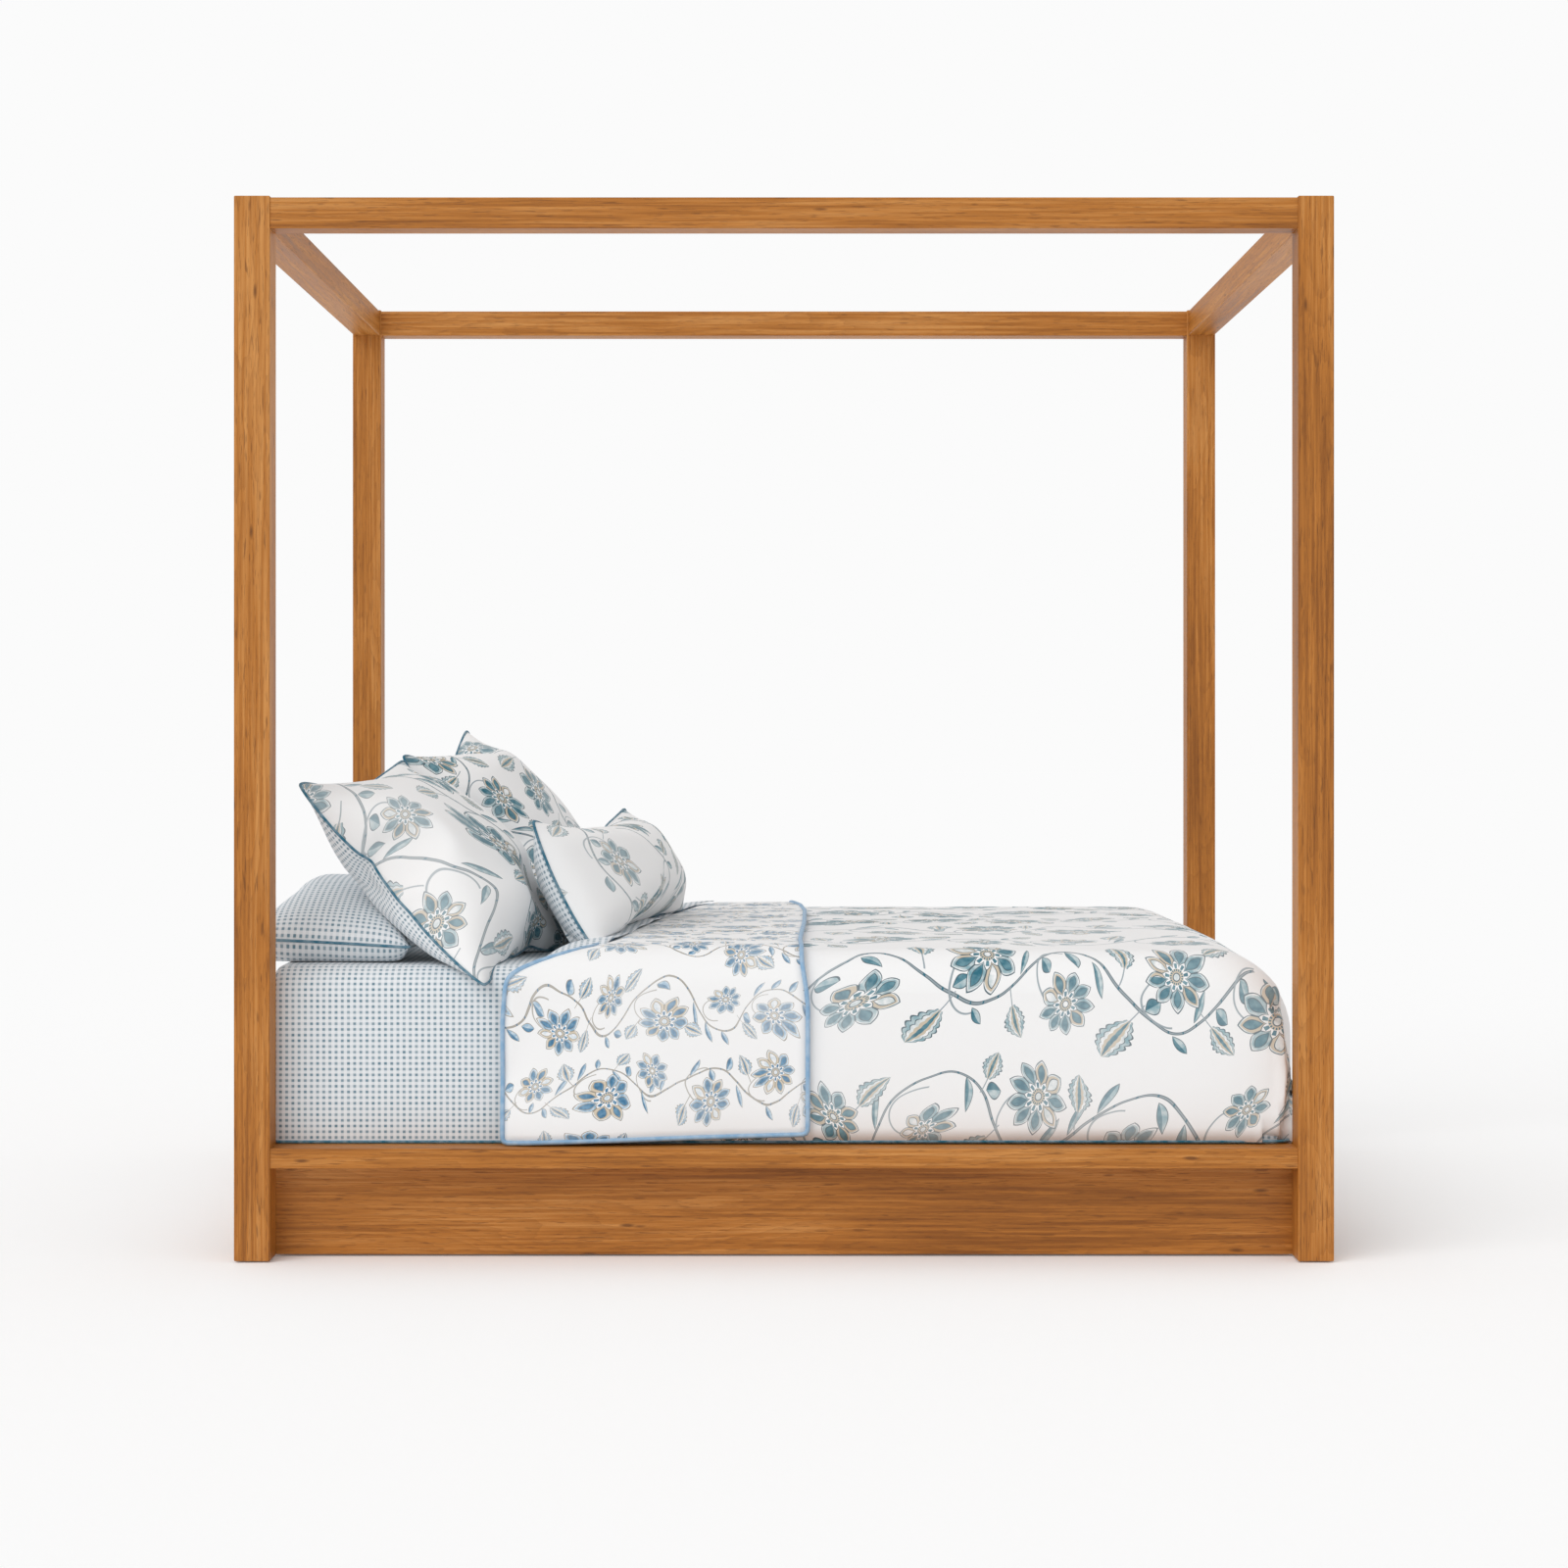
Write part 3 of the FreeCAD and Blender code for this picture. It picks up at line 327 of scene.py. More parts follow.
def floralMaterial(name, ink):
    # a trailing print: rows of waving stem, small leaves set along it, a many-petalled flower
    # in the hollow of each wave, and a large toothed leaf on each side where the wave crosses over
    material, tree, shader, flat = clothShader(name)
    put = partial(addNode, tree)
    size = 1 / ink["repeat"]
    noises = []
    for scale, detail in ((0.9, 1), (4, 1), (24, 2)):
        noises.append(put("TexNoise", put("Mapping", flat, None, None, (size * scale,) * 3),
                          sockets={"Scale": 1.0, "Detail": detail}))
    slow, quick, washes = noises
    washed = put("MapRange", washes, 0.35, 0.65, 0.0, 1.0)
    white = linear(cotton["ground"])
    line, warm, stemTone, deep, fill, pale = (linear(ink[word])
                                              for word in ("ink", "warm", "stem", "deep", "fill", "pale"))
    tones = []
    for share, first, second in ((1.0, fill, pale), (0.6, deep, fill), (1.0, pale, white)):
        tones.append(put("Mix", put("Math *", washed, share), data_type="RGBA",
                         sockets={6: first, 7: second}).outputs[2])
    fillTone, deepTone, paleTone = tones

    # the cloth is drawn a little out of true, so that no two repeats are alike
    spot = put("Mapping", flat, ink["shift"], None, (size,) * 3)
    for drift, far in ((slow, vine["sway"]), (quick, vine["shake"])):
        pull = put("VectorMath -", drift.outputs["Color"], (0.5, 0.5, 0.5))
        spot = put("VectorMath +", spot, put("VectorMath SCALE", pull, sockets={"Scale": far}))
    split = put("SeparateXYZ", spot)
    row = put("Math ROUND", put("Math /", split.outputs[1], vine["rowPitch"]))
    y = put("Math -", split.outputs[1], put("Math *", row, vine["rowPitch"]))
    x = put("Math +", split.outputs[0], put("Math *", row, vine["rowShift"]))

    # the stem is a wave whose height drifts along it
    angle = put("Math *", x, 2 * math.pi)
    drift = put("TexNoise", put("CombineXYZ", put("Math *", x, 0.9), put("Math *", row, 7.7),
                                ink["seed"]), sockets={"Scale": 1.0, "Detail": 0})
    height = put("MapRange", drift, 0.3, 0.7, *vine["wave"])
    wave = put("Math *", put("Math SINE", angle), height)
    slope = put("Math *", put("Math *", put("Math COSINE", angle), height), 2 * math.pi)
    lean = put("Math INVERSE_SQRT", put("Math +", put("Math *", slope, slope), 1.0))
    off = put("Math *", put("Math -", y, wave), lean)     # true distance from the stem
    aside = put("Math ABSOLUTE", off)
    wide = ink["stemWide"]
    stem = put("MapRange", aside, wide, wide + vine["soft"], 1.0, 0.0)
    stemRim = put("Math *", stem, put("Math >", aside, wide * vine["rim"]))
    beat = put("Math FRACT", put("Math *", x, vine["joints"]))
    joint = put("Math *", stem, put("Math <", beat, vine["jointLong"]))
    layers = [(stem, stemTone), (stemRim, line), (joint, deep)]

    # one bay for each half wave, turned over at every second one
    bay = put("Math ROUND", put("Math -", put("Math *", x, 2.0), 0.5))
    xBay = put("Math -", x, put("Math *", put("Math +", bay, 0.5), 0.5))
    flip = put("Math -", 1.0, put("Math *", put("Math ABSOLUTE", put("Math MODULO", bay, 2.0)), 2.0))
    yBay = put("Math *", y, flip)
    chance = put("TexWhiteNoise", put("CombineXYZ", bay, row, ink["seed"]), noise_dimensions="3D")
    diceA, diceB, diceC = put("SeparateColor", chance.outputs["Color"]).outputs

    # the flower's stalk is an arc from the stem into the bay
    arcX = put("Math +", xBay, stalk["x"])
    arcY = put("Math +", yBay, stalk["y"])
    arc = put("Math ABSOLUTE", put("Math -", distance(put, arcX, arcY), stalk["radius"]))
    stalkWide = wide * stalk["wide"]
    stalkMask = put("Math *", put("MapRange", arc, stalkWide, stalkWide + vine["soft"], 1.0, 0.0),
                    put("Math <", arcX, stalk["end"]))
    layers.append((stalkMask, stemTone))

    # small leaves, above or below the stem as chance has it
    beat = put("Math *", x, smallLeaf["toRepeat"])
    leafNumber = put("Math ROUND", beat)
    xLeaf = put("Math /", put("Math -", beat, leafNumber), smallLeaf["toRepeat"])
    leafDice = put("TexWhiteNoise", put("CombineXYZ", leafNumber, row, ink["seed"] + 5),
                   noise_dimensions="3D")
    leafA, leafB, leafC = put("SeparateColor", leafDice.outputs["Color"]).outputs
    side = put("Math SIGN", put("Math -", leafA, 0.5))
    yLeaf = put("Math -", put("Math *", off, side), smallLeaf["off"])
    swing = put("Math +", put("Math *", leafB, 0.8), 0.5)
    along, across = turnedPlace(put, xLeaf, yLeaf, swing)
    along = put("Math /", along, smallLeaf["long"])
    full = put("Math *", put("Math -", 1.0, put("Math *", along, along)), smallLeaf["wide"])
    leafEdge = put("Math -", full, put("Math ABSOLUTE", across))
    leaf = put("Math *", put("Math >", leafEdge, 0.0), put("Math <", leafC, smallLeaf["share"]))
    shaded = put("Math >", across, 0.001)
    rim = put("Math <", leafEdge, smallLeaf["line"])
    layers += [(leaf, fillTone), (put("Math *", leaf, shaded), deepTone), (put("Math *", leaf, rim), line)]

    # large leaves: a toothed rim round nested fillings
    number = put("Math ROUND", put("Math *", x, 2.0))
    xBig = put("Math -", x, put("Math *", number, 0.5))
    for hand in (1, -1):
        dice = put("TexWhiteNoise", put("CombineXYZ", number, row, ink["seed"] + 9 + hand),
                   noise_dimensions="3D")
        bigA, bigB, bigC = put("SeparateColor", dice.outputs["Color"]).outputs
        yBig = put("Math -", put("Math *", y, float(hand)),
                   put("Math +", put("Math *", bigA, bigLeaf["offMore"]), bigLeaf["off"]))
        along, across = turnedPlace(put, xBig, yBig, put("Math +", put("Math *", bigB, 1.9), 0.35))
        along = put("Math /", along, bigLeaf["long"])
        across = put("Math ABSOLUTE", across)
        tooth = put("Math ABSOLUTE", put("Math SINE", put("Math *", along, bigLeaf["teeth"])))
        teeth = put("Math +", put("Math *", tooth, bigLeaf["bite"]), 0.84)
        belly = put("Math -", 1.0, put("Math POWER", put("Math ABSOLUTE", put("Math +", along, 0.12)), 1.7))
        full = put("Math *", put("Math *", belly, teeth), bigLeaf["wide"])
        full = put("Math MAXIMUM", full, 0.0001)
        deepness = put("Math /", across, full)
        grows = put("Math <", bigC, bigLeaf["share"])
        shown = put("Math *", put("Math <", put("Math ABSOLUTE", along), 0.98), grows)
        for share, colour in ((1.0, line), (0.88, fillTone), (0.62, line), (0.56, paleTone), (0.34, warm),
                              (0.14, deepTone)):
            layers.append((put("Math *", shown, put("Math <", deepness, share)), colour))
        stick = put("Math *", put("Math <", across, stalkWide),
                    put("Math *", put("Math <", along, -0.9), put("Math >", along, -bigLeaf["stick"])))
        layers.append((put("Math *", stick, grows), stemTone))

    # the flower: eight or nine pointed petals, a smaller crown set between them, and a ringed eye
    xFlower = put("Math -", xBay, bloom["x"])
    yFlower = put("Math -", yBay, bloom["y"])
    radius = put("Math +", put("Math *", diceA, ink["bloom"][1]), ink["bloom"][0])
    far = put("Math /", distance(put, xFlower, yFlower), radius)
    petals = put("Math +", put("Math ROUND", diceB), bloom["petals"])
    turn = put("Math +", put("Math ARCTAN2", yFlower, xFlower), put("Math *", diceC, 6.28))
    turns = put("Math *", put("Math /", turn, 2 * math.pi), petals)
    petal = put("Math ROUND", turns)
    within = put("Math ABSOLUTE", put("Math *", put("Math -", turns, petal), 2.0))
    pointed = put("Math POWER", put("Math MAXIMUM", put("Math -", 1.0, within), 0.0), 0.62)
    edge = put("Math +", put("Math *", pointed, bloom["tip"]), 1 - bloom["tip"])
    inset = put("Math -", edge, far)
    petalDice = put("TexWhiteNoise", put("CombineXYZ", petal, bay, row), noise_dimensions="3D")
    petalTone, dropTone = (put("Mix", put("Math >", petalDice, share), data_type="RGBA",
                               sockets={6: usual, 7: other}).outputs[2]
                           for share, usual, other in ((0.62, fillTone, warm), (0.80, deepTone, paleTone)))
    dropAt = put("Math /", put("Math -", far, 0.60), 0.27)
    dropFull = put("Math *", put("Math -", 1.0, put("Math *", dropAt, dropAt)), 0.58)
    dropEdge = put("Math -", dropFull, within)
    cell = put("Math -", put("Math FRACT", put("Math +", turns, 1000.0)), 0.5)
    between = put("Math ABSOLUTE", put("Math *", cell, 2.0))
    crown = put("Math *", put("Math POWER", put("Math -", 1.0, between), 0.7), bloom["crown"])
    crownEdge = put("Math +", crown, 0.25)
    crownDrop = put("Math *", put("Math <", between, 0.4),
                    put("Math <", put("Math ABSOLUTE", put("Math -", far, 0.30)), 0.07))
    half = put("Math FRACT", put("Math +", put("Math *", turns, 2.0), 1000.0))
    seeds = put("Math *", put("Math <", half, 0.5),
                put("Math <", put("Math ABSOLUTE", put("Math -", far, 0.185)), 0.03))
    for depth, colour in ((0.0, line), (0.035, paleTone), (0.075, petalTone)):
        layers.append((put("Math >", inset, depth), colour))
    parted = put("Math *", put("Math >", inset, 0.0), put("Math >", within, 0.90))
    layers += [(parted, line), (put("Math >", dropEdge, 0.0), line),
               (put("Math >", dropEdge, 0.10), dropTone),
               (put("Math <", far, put("Math +", crownEdge, 0.03)), line),
               (put("Math <", far, crownEdge), white), (crownDrop, deepTone),
               (put("Math <", far, bloom["eye"]), warm), (seeds, deep),
               (put("Math <", far, 0.12), line), (put("Math <", far, 0.09), paleTone)]
    # some of the print is fainter than the rest
    layers.append((put("MapRange", slow, 0.4, 0.65, 0.0, 0.34), white))
    tone = white
    for mask, colour in layers:
        tone = put("Mix", mask, data_type="RGBA", sockets={6: tone, 7: colour}).outputs[2]
    tree.links.new(tone, shader.inputs["Base Color"])
    return material


def plainCloth(name, hexText):
    # bias-cut cotton tape, a little faded here and there
    material, tree, shader, _ = clothShader(name)
    put = partial(addNode, tree)
    fade = put("TexNoise", put("TexCoord").outputs["Object"], sockets={"Scale": 60, "Detail": 2})
    tone = put("Mix", put("MapRange", fade, 0.35, 0.65, 0.0, 0.25), data_type="RGBA",
               sockets={6: linear(hexText), 7: linear("#DCE6EA")})
    tree.links.new(tone.outputs[2], shader.inputs["Base Color"])
    return material


hair = 1e-5     # places closer than this are one place


def smoothStep(low, high, value):
    share = min(1.0, max(0.0, (value - low) / (high - low)))
    return share * share * (3 - 2 * share)


def through(points, at):
    # the value at a place on a line of given points (place, value)
    if at <= points[0][0]:
        return points[0][1]
    for (a, valueA), (b, valueB) in zip(points, points[1:]):
        if at <= b:
            return valueA + (valueB - valueA) * (at - a) / (b - a)
    return points[-1][1]


def ripple(place, scale, seed):
    return noise.noise(Vector(place) * scale + Vector((seed, seed * 1.3, seed * 0.7)))


def sewnTube(name, points, radius, material, body, closed=True):
    # piping or binding: a round tube along a line of points
    data = bpy.data.curves.new(name, "CURVE")
    data.dimensions = "3D"
    data.bevel_depth = radius
    data.bevel_resolution = data.resolution_u = 2
    spline = data.splines.new("NURBS")
    spline.points.add(len(points) - 1)
    for point, place in zip(spline.points, points):
        point.co = tuple(place) + (1,)
    spline.order_u = 4
    spline.use_cyclic_u = closed
    spline.use_endpoint_u = not closed
    made = bpy.data.objects.new(name, data)
    scene.collection.objects.link(made)
    data.materials.append(material)
    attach(made, body)
    return made


def softPiece(name, bm, body, node, slot, *cloths):
    # a cloth piece that stands for a plain node
    made = meshPiece(name, bm)
    for cloth in cloths:
        made.data.materials.append(cloth)
    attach(made, body)
    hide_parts(node)
    return made


def borderLine(bm):
    # the open border's vertices, walked from edge to edge
    start = next(v for v in bm.verts if v.is_boundary)
    line = [start]
    last = None
    while True:
        last = next(e for e in line[-1].link_edges if e.is_boundary and e is not last)
        after = last.other_vert(line[-1])
        if after is start:
            return line
        line.append(after)


def applied(piece):
    # turns a piece's modifiers into its mesh
    mesh = bpy.data.meshes.new_from_object(piece.evaluated_get(bpy.context.evaluated_depsgraph_get()))
    piece.modifiers.clear()
    piece.data = mesh


def thickened(piece, thick):
    shell = piece.modifiers.new("layers", "SOLIDIFY")
    shell.thickness = thick
    shell.offset = -1


def laidFlat(bm, layer, flat):
    # gives the cloth its flat coordinates, and turns it face up
    for face in bm.faces:
        for loop in face.loops:
            loop[layer].uv = flat[loop.vert]
    bm.normal_update()
    if sum(f.normal.z for f in bm.faces) < 0:
        bmesh.ops.reverse_faces(bm, faces=bm.faces)


# mattress and fitted sheet; under: how much tighter the mattress's own rounds are
slab = {"step": 0.03, "fineStep": 0.005, "sideRadius": 0.052, "headRadius": 0.022, "footRadius": 0.152,
        "under": 0.002}
fitted = {"ripple": 0.0015, "flat": (2.24, 2.75), "area": 5.6}


def softSlab(low, high, sideRadius, headRadius, footRadius, closed=False, fineFrom=None):
    # a box with a round shoulder on every side and an even net of faces, open below or closed
    bm = bmesh.new()
    bmesh.ops.create_cube(bm, size=1.0)
    bmesh.ops.scale(bm, vec=high - low, verts=bm.verts)
    bmesh.ops.translate(bm, vec=(low + high) / 2, verts=bm.verts)
    if not closed:
        bmesh.ops.delete(bm, geom=[f for f in bm.faces if f.normal.z < -0.5], context="FACES_ONLY")

    def bevelled(picked, radius, segments):
        bmesh.ops.bevel(bm, geom=[e for e in bm.edges if picked(e)], offset=radius, segments=segments,
                        affect="EDGES", profile=0.5, material=-1)

    def onSide(e):
        xs, ys, zs = zip(*(v.co for v in e.verts))
        return (abs(ys[0] - ys[1]) < hair and abs(abs(ys[0]) - high.y) < hair and max(zs) > low.z + hair
                and min(xs) < high.x - hair and max(xs) > low.x + hair)
    # the foot's round top comes first, then both sides, then the head end's rim, each wider than the next
    bevelled(lambda e: all(abs(v.co.x - high.x) < hair and abs(v.co.z - high.z) < hair for v in e.verts),
             footRadius, segments=14)
    bevelled(onSide, sideRadius, segments=8)
    bevelled(lambda e: all(abs(v.co.x - low.x) < hair for v in e.verts)
             and max(v.co.z for v in e.verts) > low.z + hair, headRadius, segments=6)
    cuts = [(axis, low[axis] + slab["step"] * i) for axis in range(3)
            for i in range(1, int((high[axis] - low[axis]) / slab["step"]))]
    if fineFrom:
        fine = slab["fineStep"]
        cuts += [(0, fineFrom + fine * i) for i in range(int((high.x - fineFrom) / fine))]
    for axis, at in cuts:
        normal = Vector([float(i == axis) for i in range(3)])
        bmesh.ops.bisect_plane(bm, geom=bm.verts[:] + bm.edges[:] + bm.faces[:], dist=hair,
                               plane_co=normal * at, plane_no=normal)
    bmesh.ops.remove_doubles(bm, verts=bm.verts, dist=0.0005)
    bm.normal_update()
    return bm


def slabUv(bm, low, high, radius, footRadius):
    # flat cloth coordinates in metres, measured over the shoulders at the sides and over the two ends
    layer = bm.loops.layers.uv.new("cloth")
    halfFlat, topFlat = high.y - radius, high.z - radius
    footStart, footDrop = high.x - footRadius, high.z - footRadius

    def overSide(y, z):
        out, up = abs(y) - halfFlat, z - topFlat
        turn = math.atan2(max(out, 0), max(up, 1e-6)) if out > 0 else 0
        return math.copysign(min(abs(y), halfFlat) + radius * turn + max(0.0, -up), y)

    def overEnd(x, z):
        if x > footStart:
            turn = math.atan2(x - footStart, max(z - footDrop, 1e-6))
            return footStart + footRadius * turn + max(0.0, footDrop - z)
        return low.x + radius - (high.z - z) * 1.2 if x < low.x + radius else x
    for face in bm.faces:
        sideFace = abs(face.normal.y) > abs(face.normal.x) or abs(face.normal.x) < 0.02
        for loop in face.loops:
            x, y, z = loop.vert.co
            loop[layer].uv = (x, overSide(y, z)) if sideFace else (overEnd(x, z), y)


def buildMattress(cloths):
    low, high = (Vector(corner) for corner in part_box("mattress"))
    bm = softSlab(low, high, slab["sideRadius"] - slab["under"], slab["headRadius"] - slab["under"],
                  slab["footRadius"] - slab["under"], closed=True)
    slabUv(bm, low, high, slab["sideRadius"], slab["footRadius"])
    core = softPiece("mattressCore", bm, "mattress", "mattress", "mattress_ticking", cloths["ticking"])

    low, high = (Vector(corner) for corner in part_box("fitted_sheet"))
    bm = softSlab(low, high, slab["sideRadius"], slab["headRadius"], slab["footRadius"])
    slabUv(bm, low, high, slab["sideRadius"], slab["footRadius"])
    for vert in bm.verts:
        loose = smoothStep(low.z, low.z + 0.05, vert.co.z)
        vert.co += vert.normal * ripple(vert.co, 7, 2.0) * fitted["ripple"] * loose
    hem = [v.co + Vector((0, 0, piping["radius"])) for v in borderLine(bm)]
    made = softPiece("fittedSheet", bm, "mattress", "fitted_sheet", "check_cotton", cloths["check"])
    sewnTube("sheetPiping", hem, piping["radius"], cloths["teal"], "mattress")
    print("mattress and fitted sheet made")


# the duvet, with a tuck at each foot corner; its head end is cut aslant under the coverlet
duvet = {"radius": 0.080, "footRadius": 0.18, "headRadius": 0.02, "thick": 0.009, "crown": 0.008,
         "ripple": 0.004, "headCut": ((-0.355, -0.70), (-0.205, 0.80)), "foldDeep": 0.019, "foldLip": 0.005,
         "foldSide": 0.66, "foldTop": 0.56, "foldFade": (0.545, 0.49), "fineFrom": 0.955, "hemFrom": -0.30,
         "hemStep": 0.1, "hemCorner": 0.06,
         # height, and X of the fold
         "fold": [(0.233, 0.967), (0.255, 1.001), (0.307, 1.013), (0.372, 1.017), (0.475, 1.007),
                  (0.507, 0.981)]}


def buildDuvet(cloths):
    low, high = (Vector(corner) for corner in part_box("duvet"))
    bm = softSlab(low, high, duvet["radius"], duvet["headRadius"], duvet["footRadius"],
                  fineFrom=duvet["fineFrom"])
    slabUv(bm, low, high, duvet["radius"], duvet["footRadius"])
    near, distant = (Vector(point + (0,)) for point in duvet["headCut"])
    aslant = (distant - near).cross(Vector((0, 0, 1)))
    bmesh.ops.bisect_plane(bm, geom=bm.verts[:] + bm.edges[:] + bm.faces[:], dist=hair,
                           plane_co=near, plane_no=aslant, clear_inner=True)
    bm.normal_update()
    for vert in bm.verts:
        x, y, z = vert.co
        onTop = smoothStep(high.z - 0.08, high.z, z)
        held = smoothStep(low.z, low.z + 0.06, z)
        puff = ripple(vert.co, 3.2, 5.0) + ripple(vert.co, 9, 1.0) * 0.35
        move = puff * duvet["ripple"] * held + onTop * duvet["crown"] * (1 - (y / high.y) ** 2)
        # past the fold the cloth lies deeper, and the fold itself stands a little proud
        if abs(y) > duvet["foldSide"] and z < duvet["foldTop"]:
            past = x - through(duvet["fold"], z)
            fades = smoothStep(*duvet["foldFade"], z)
            move -= duvet["foldDeep"] * smoothStep(-0.001, 0.004, past) * fades
            lip = smoothStep(-0.03, -0.002, past) * smoothStep(0.004, -0.001, past)
            move += duvet["foldLip"] * lip * fades
        vert.co += vert.normal * move
    made = softPiece("duvetCover", bm, "mattress", "duvet", "floral_large", cloths["large"])
    thickened(made, duvet["thick"])
    # piping along the hem, from the coverlet round the foot and back
    corner = duvet["hemCorner"]
    halfY = high.y - 0.002
    level = low.z + 0.001
    line = [Vector((duvet["hemFrom"] + duvet["hemStep"] * i, -halfY, level)) for i in range(13)]
    turn = [Vector((high.x - 0.004 - corner + corner * math.sin(math.pi / 16 * i),
                    -halfY + corner - corner * math.cos(math.pi / 16 * i), level)) for i in range(9)]
    half = line + turn
    sewnTube("duvetPiping", half + [Vector((p.x, -p.y, p.z)) for p in reversed(half)], piping["radius"],
             cloths["teal"], "mattress", closed=False)
    print("duvet made")


# coverlet, laid across the bed as a cuff
cuff = {"halfY": 0.787, "top": 0.627, "radius": 0.080, "thick": 0.009, "binding": 0.0048, "flare": 0.016,
        "hemHead": 0.2335, "hemFoot": 0.250, "crown": 0.006, "sink": 0.007, "sway": 0.004, "ripple": 0.003,
        "flat": (0.61, 2.28), "area": 1.02,
        # its two edges: distance across the cloth from the bed's middle line, and X
        "edge": [(-0.90, -0.567), (-0.83, -0.562), (-0.810, -0.556), (-0.793, -0.537), (-0.772, -0.496),
                 (-0.735, -0.427), (-0.70, -0.398), (-0.55, -0.367), (-0.08, -0.316), (0.30, -0.272),
                 (0.55, -0.234), (0.66, -0.205), (0.74, -0.178), (0.80, -0.185), (0.88, -0.212),
                 (1.0, -0.235)],
        "footEdge": [(-0.86, 0.048), (-0.78, 0.036), (-0.56, 0.034), (-0.10, 0.046), (0.30, 0.050),
                     (0.55, 0.042), (0.68, 0.022), (0.74, 0.014), (0.84, 0.022), (1.0, 0.040)]}


def cuffPlace(across, x):
    # a point of the coverlet's outer face, from its flat distance across and its X
    out, up = cuff["halfY"] - cuff["radius"], cuff["top"] - cuff["radius"]
    over = abs(across) - out
    if over <= 0:
        y, z = abs(across), cuff["top"] + cuff["crown"] * (1 - (across / out) ** 2)
    elif over < cuff["radius"] * math.pi / 2:
        turn = over / cuff["radius"]
        y, z = out + cuff["radius"] * math.sin(turn), up + cuff["radius"] * math.cos(turn)
    else:
        y, z = cuff["halfY"], up - (over - cuff["radius"] * math.pi / 2)
    return Vector((x, math.copysign(y, across), z))


def buildCuff(cloths):
    out, up = cuff["halfY"] - cuff["radius"], cuff["top"] - cuff["radius"]
    shoulder = out + cuff["radius"] * math.pi / 2
    bm = bmesh.new()
    bmesh.ops.create_grid(bm, x_segments=30, y_segments=130, size=0.5)
    layer = bm.loops.layers.uv.new("cloth")
    flat = {}
    for vert in bm.verts:
        along, side = vert.co.x + 0.5, vert.co.y * 2
        drop = up - (cuff["hemHead"] + (cuff["hemFoot"] - cuff["hemHead"]) * along)
        across = side * (shoulder + drop)
        edge = through(cuff["edge"], across)
        x = edge + (through(cuff["footEdge"], across) - edge) * along
        flat[vert] = (x, across)
        hang = smoothStep(shoulder, shoulder + drop, abs(across))
        # the head-side edge is drawn down towards the sheet, and the hanging part sways
        sink = cuff["sink"] * smoothStep(0.10, 0.0, along)
        sway = (cuff["sway"] * math.sin(along * 5.0 + 0.6) + cuff["flare"] * (1 - along) * hang) * hang
        wave = ripple((x, across, 0), 4.5, 8.0) * cuff["ripple"]
        down = smoothStep(shoulder, out, abs(across))
        outward = sway + wave * hang - sink * (1 - down)
        upward = wave * (1 - hang) - sink * down
        vert.co = cuffPlace(across, x) + Vector((0, math.copysign(outward, across), upward))
    laidFlat(bm, layer, flat)
    rim = [v.co.copy() for v in borderLine(bm)]
    made = softPiece("quiltCuff", bm, "mattress", "coverlet", "floral_small", cloths["small"])
    thickened(made, cuff["thick"])
    sewnTube("coverletBinding", rim, cuff["binding"], cloths["sky"], "mattress")
    print("coverlet made")


# the top sheet, turned back beside the coverlet
fold = {"wide": 0.11, "tall": 0.046, "under": 0.02, "near": -0.735, "long": 1.42, "thick": 0.002,
        "droopFrom": -0.714, "droop": 9, "nearTall": 0.35, "flat": (0.13, 1.42)}


def buildFold(cloths):
    # a soft roll: a half-round bank along the coverlet's slanted edge, thinner at its near end
    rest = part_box("fitted_sheet")[1][2]
    bm = bmesh.new()
    bmesh.ops.create_grid(bm, x_segments=14, y_segments=80, size=0.5)
    layer = bm.loops.layers.uv.new("cloth")
    flat = {}
    for vert in bm.verts:
        along, side = vert.co.x + 0.5, vert.co.y + 0.5
        y = fold["near"] + side * fold["long"]
        tall = fold["tall"] * (fold["nearTall"] + (1 - fold["nearTall"]) * smoothStep(0, 0.10, side))
        tall *= 1 + 0.15 * ripple((0, y, 0), 6, 3.0)
        x = through(cuff["edge"], y) + fold["under"] - along * (fold["wide"] + fold["under"])
        droop = max(0.0, fold["droopFrom"] - y) ** 2 * fold["droop"]
        flat[vert] = (x, y)
        vert.co = Vector((x, y, rest + tall * math.sqrt(max(0.0, 1 - along ** 2.2)) - droop))
    laidFlat(bm, layer, flat)
    made = softPiece("topSheetFold", bm, "mattress", "top_sheet", "check_cotton", cloths["check"])
    thickened(made, fold["thick"])
    print("top sheet fold made")


# a pillow case and its filling; ears: how far its edges draw in between the corners; start: how thick
# a side is before it is blown up, or quickStart where it isn't; reach: how far off a leaning pillow presses
case = {"ears": 0.022, "cell": 0.0175, "corner": 0.026, "frames": 26, "quality": 6, "tension": 25, "shear": 8,
        "bending": 1.2, "weight": 0.2, "pressure": 3.0, "damping": 4, "start": 0.05, "quickStart": 0.075,
        "halfThick": 0.11, "reach": (-0.25, 0.12), "gap": 0.004}
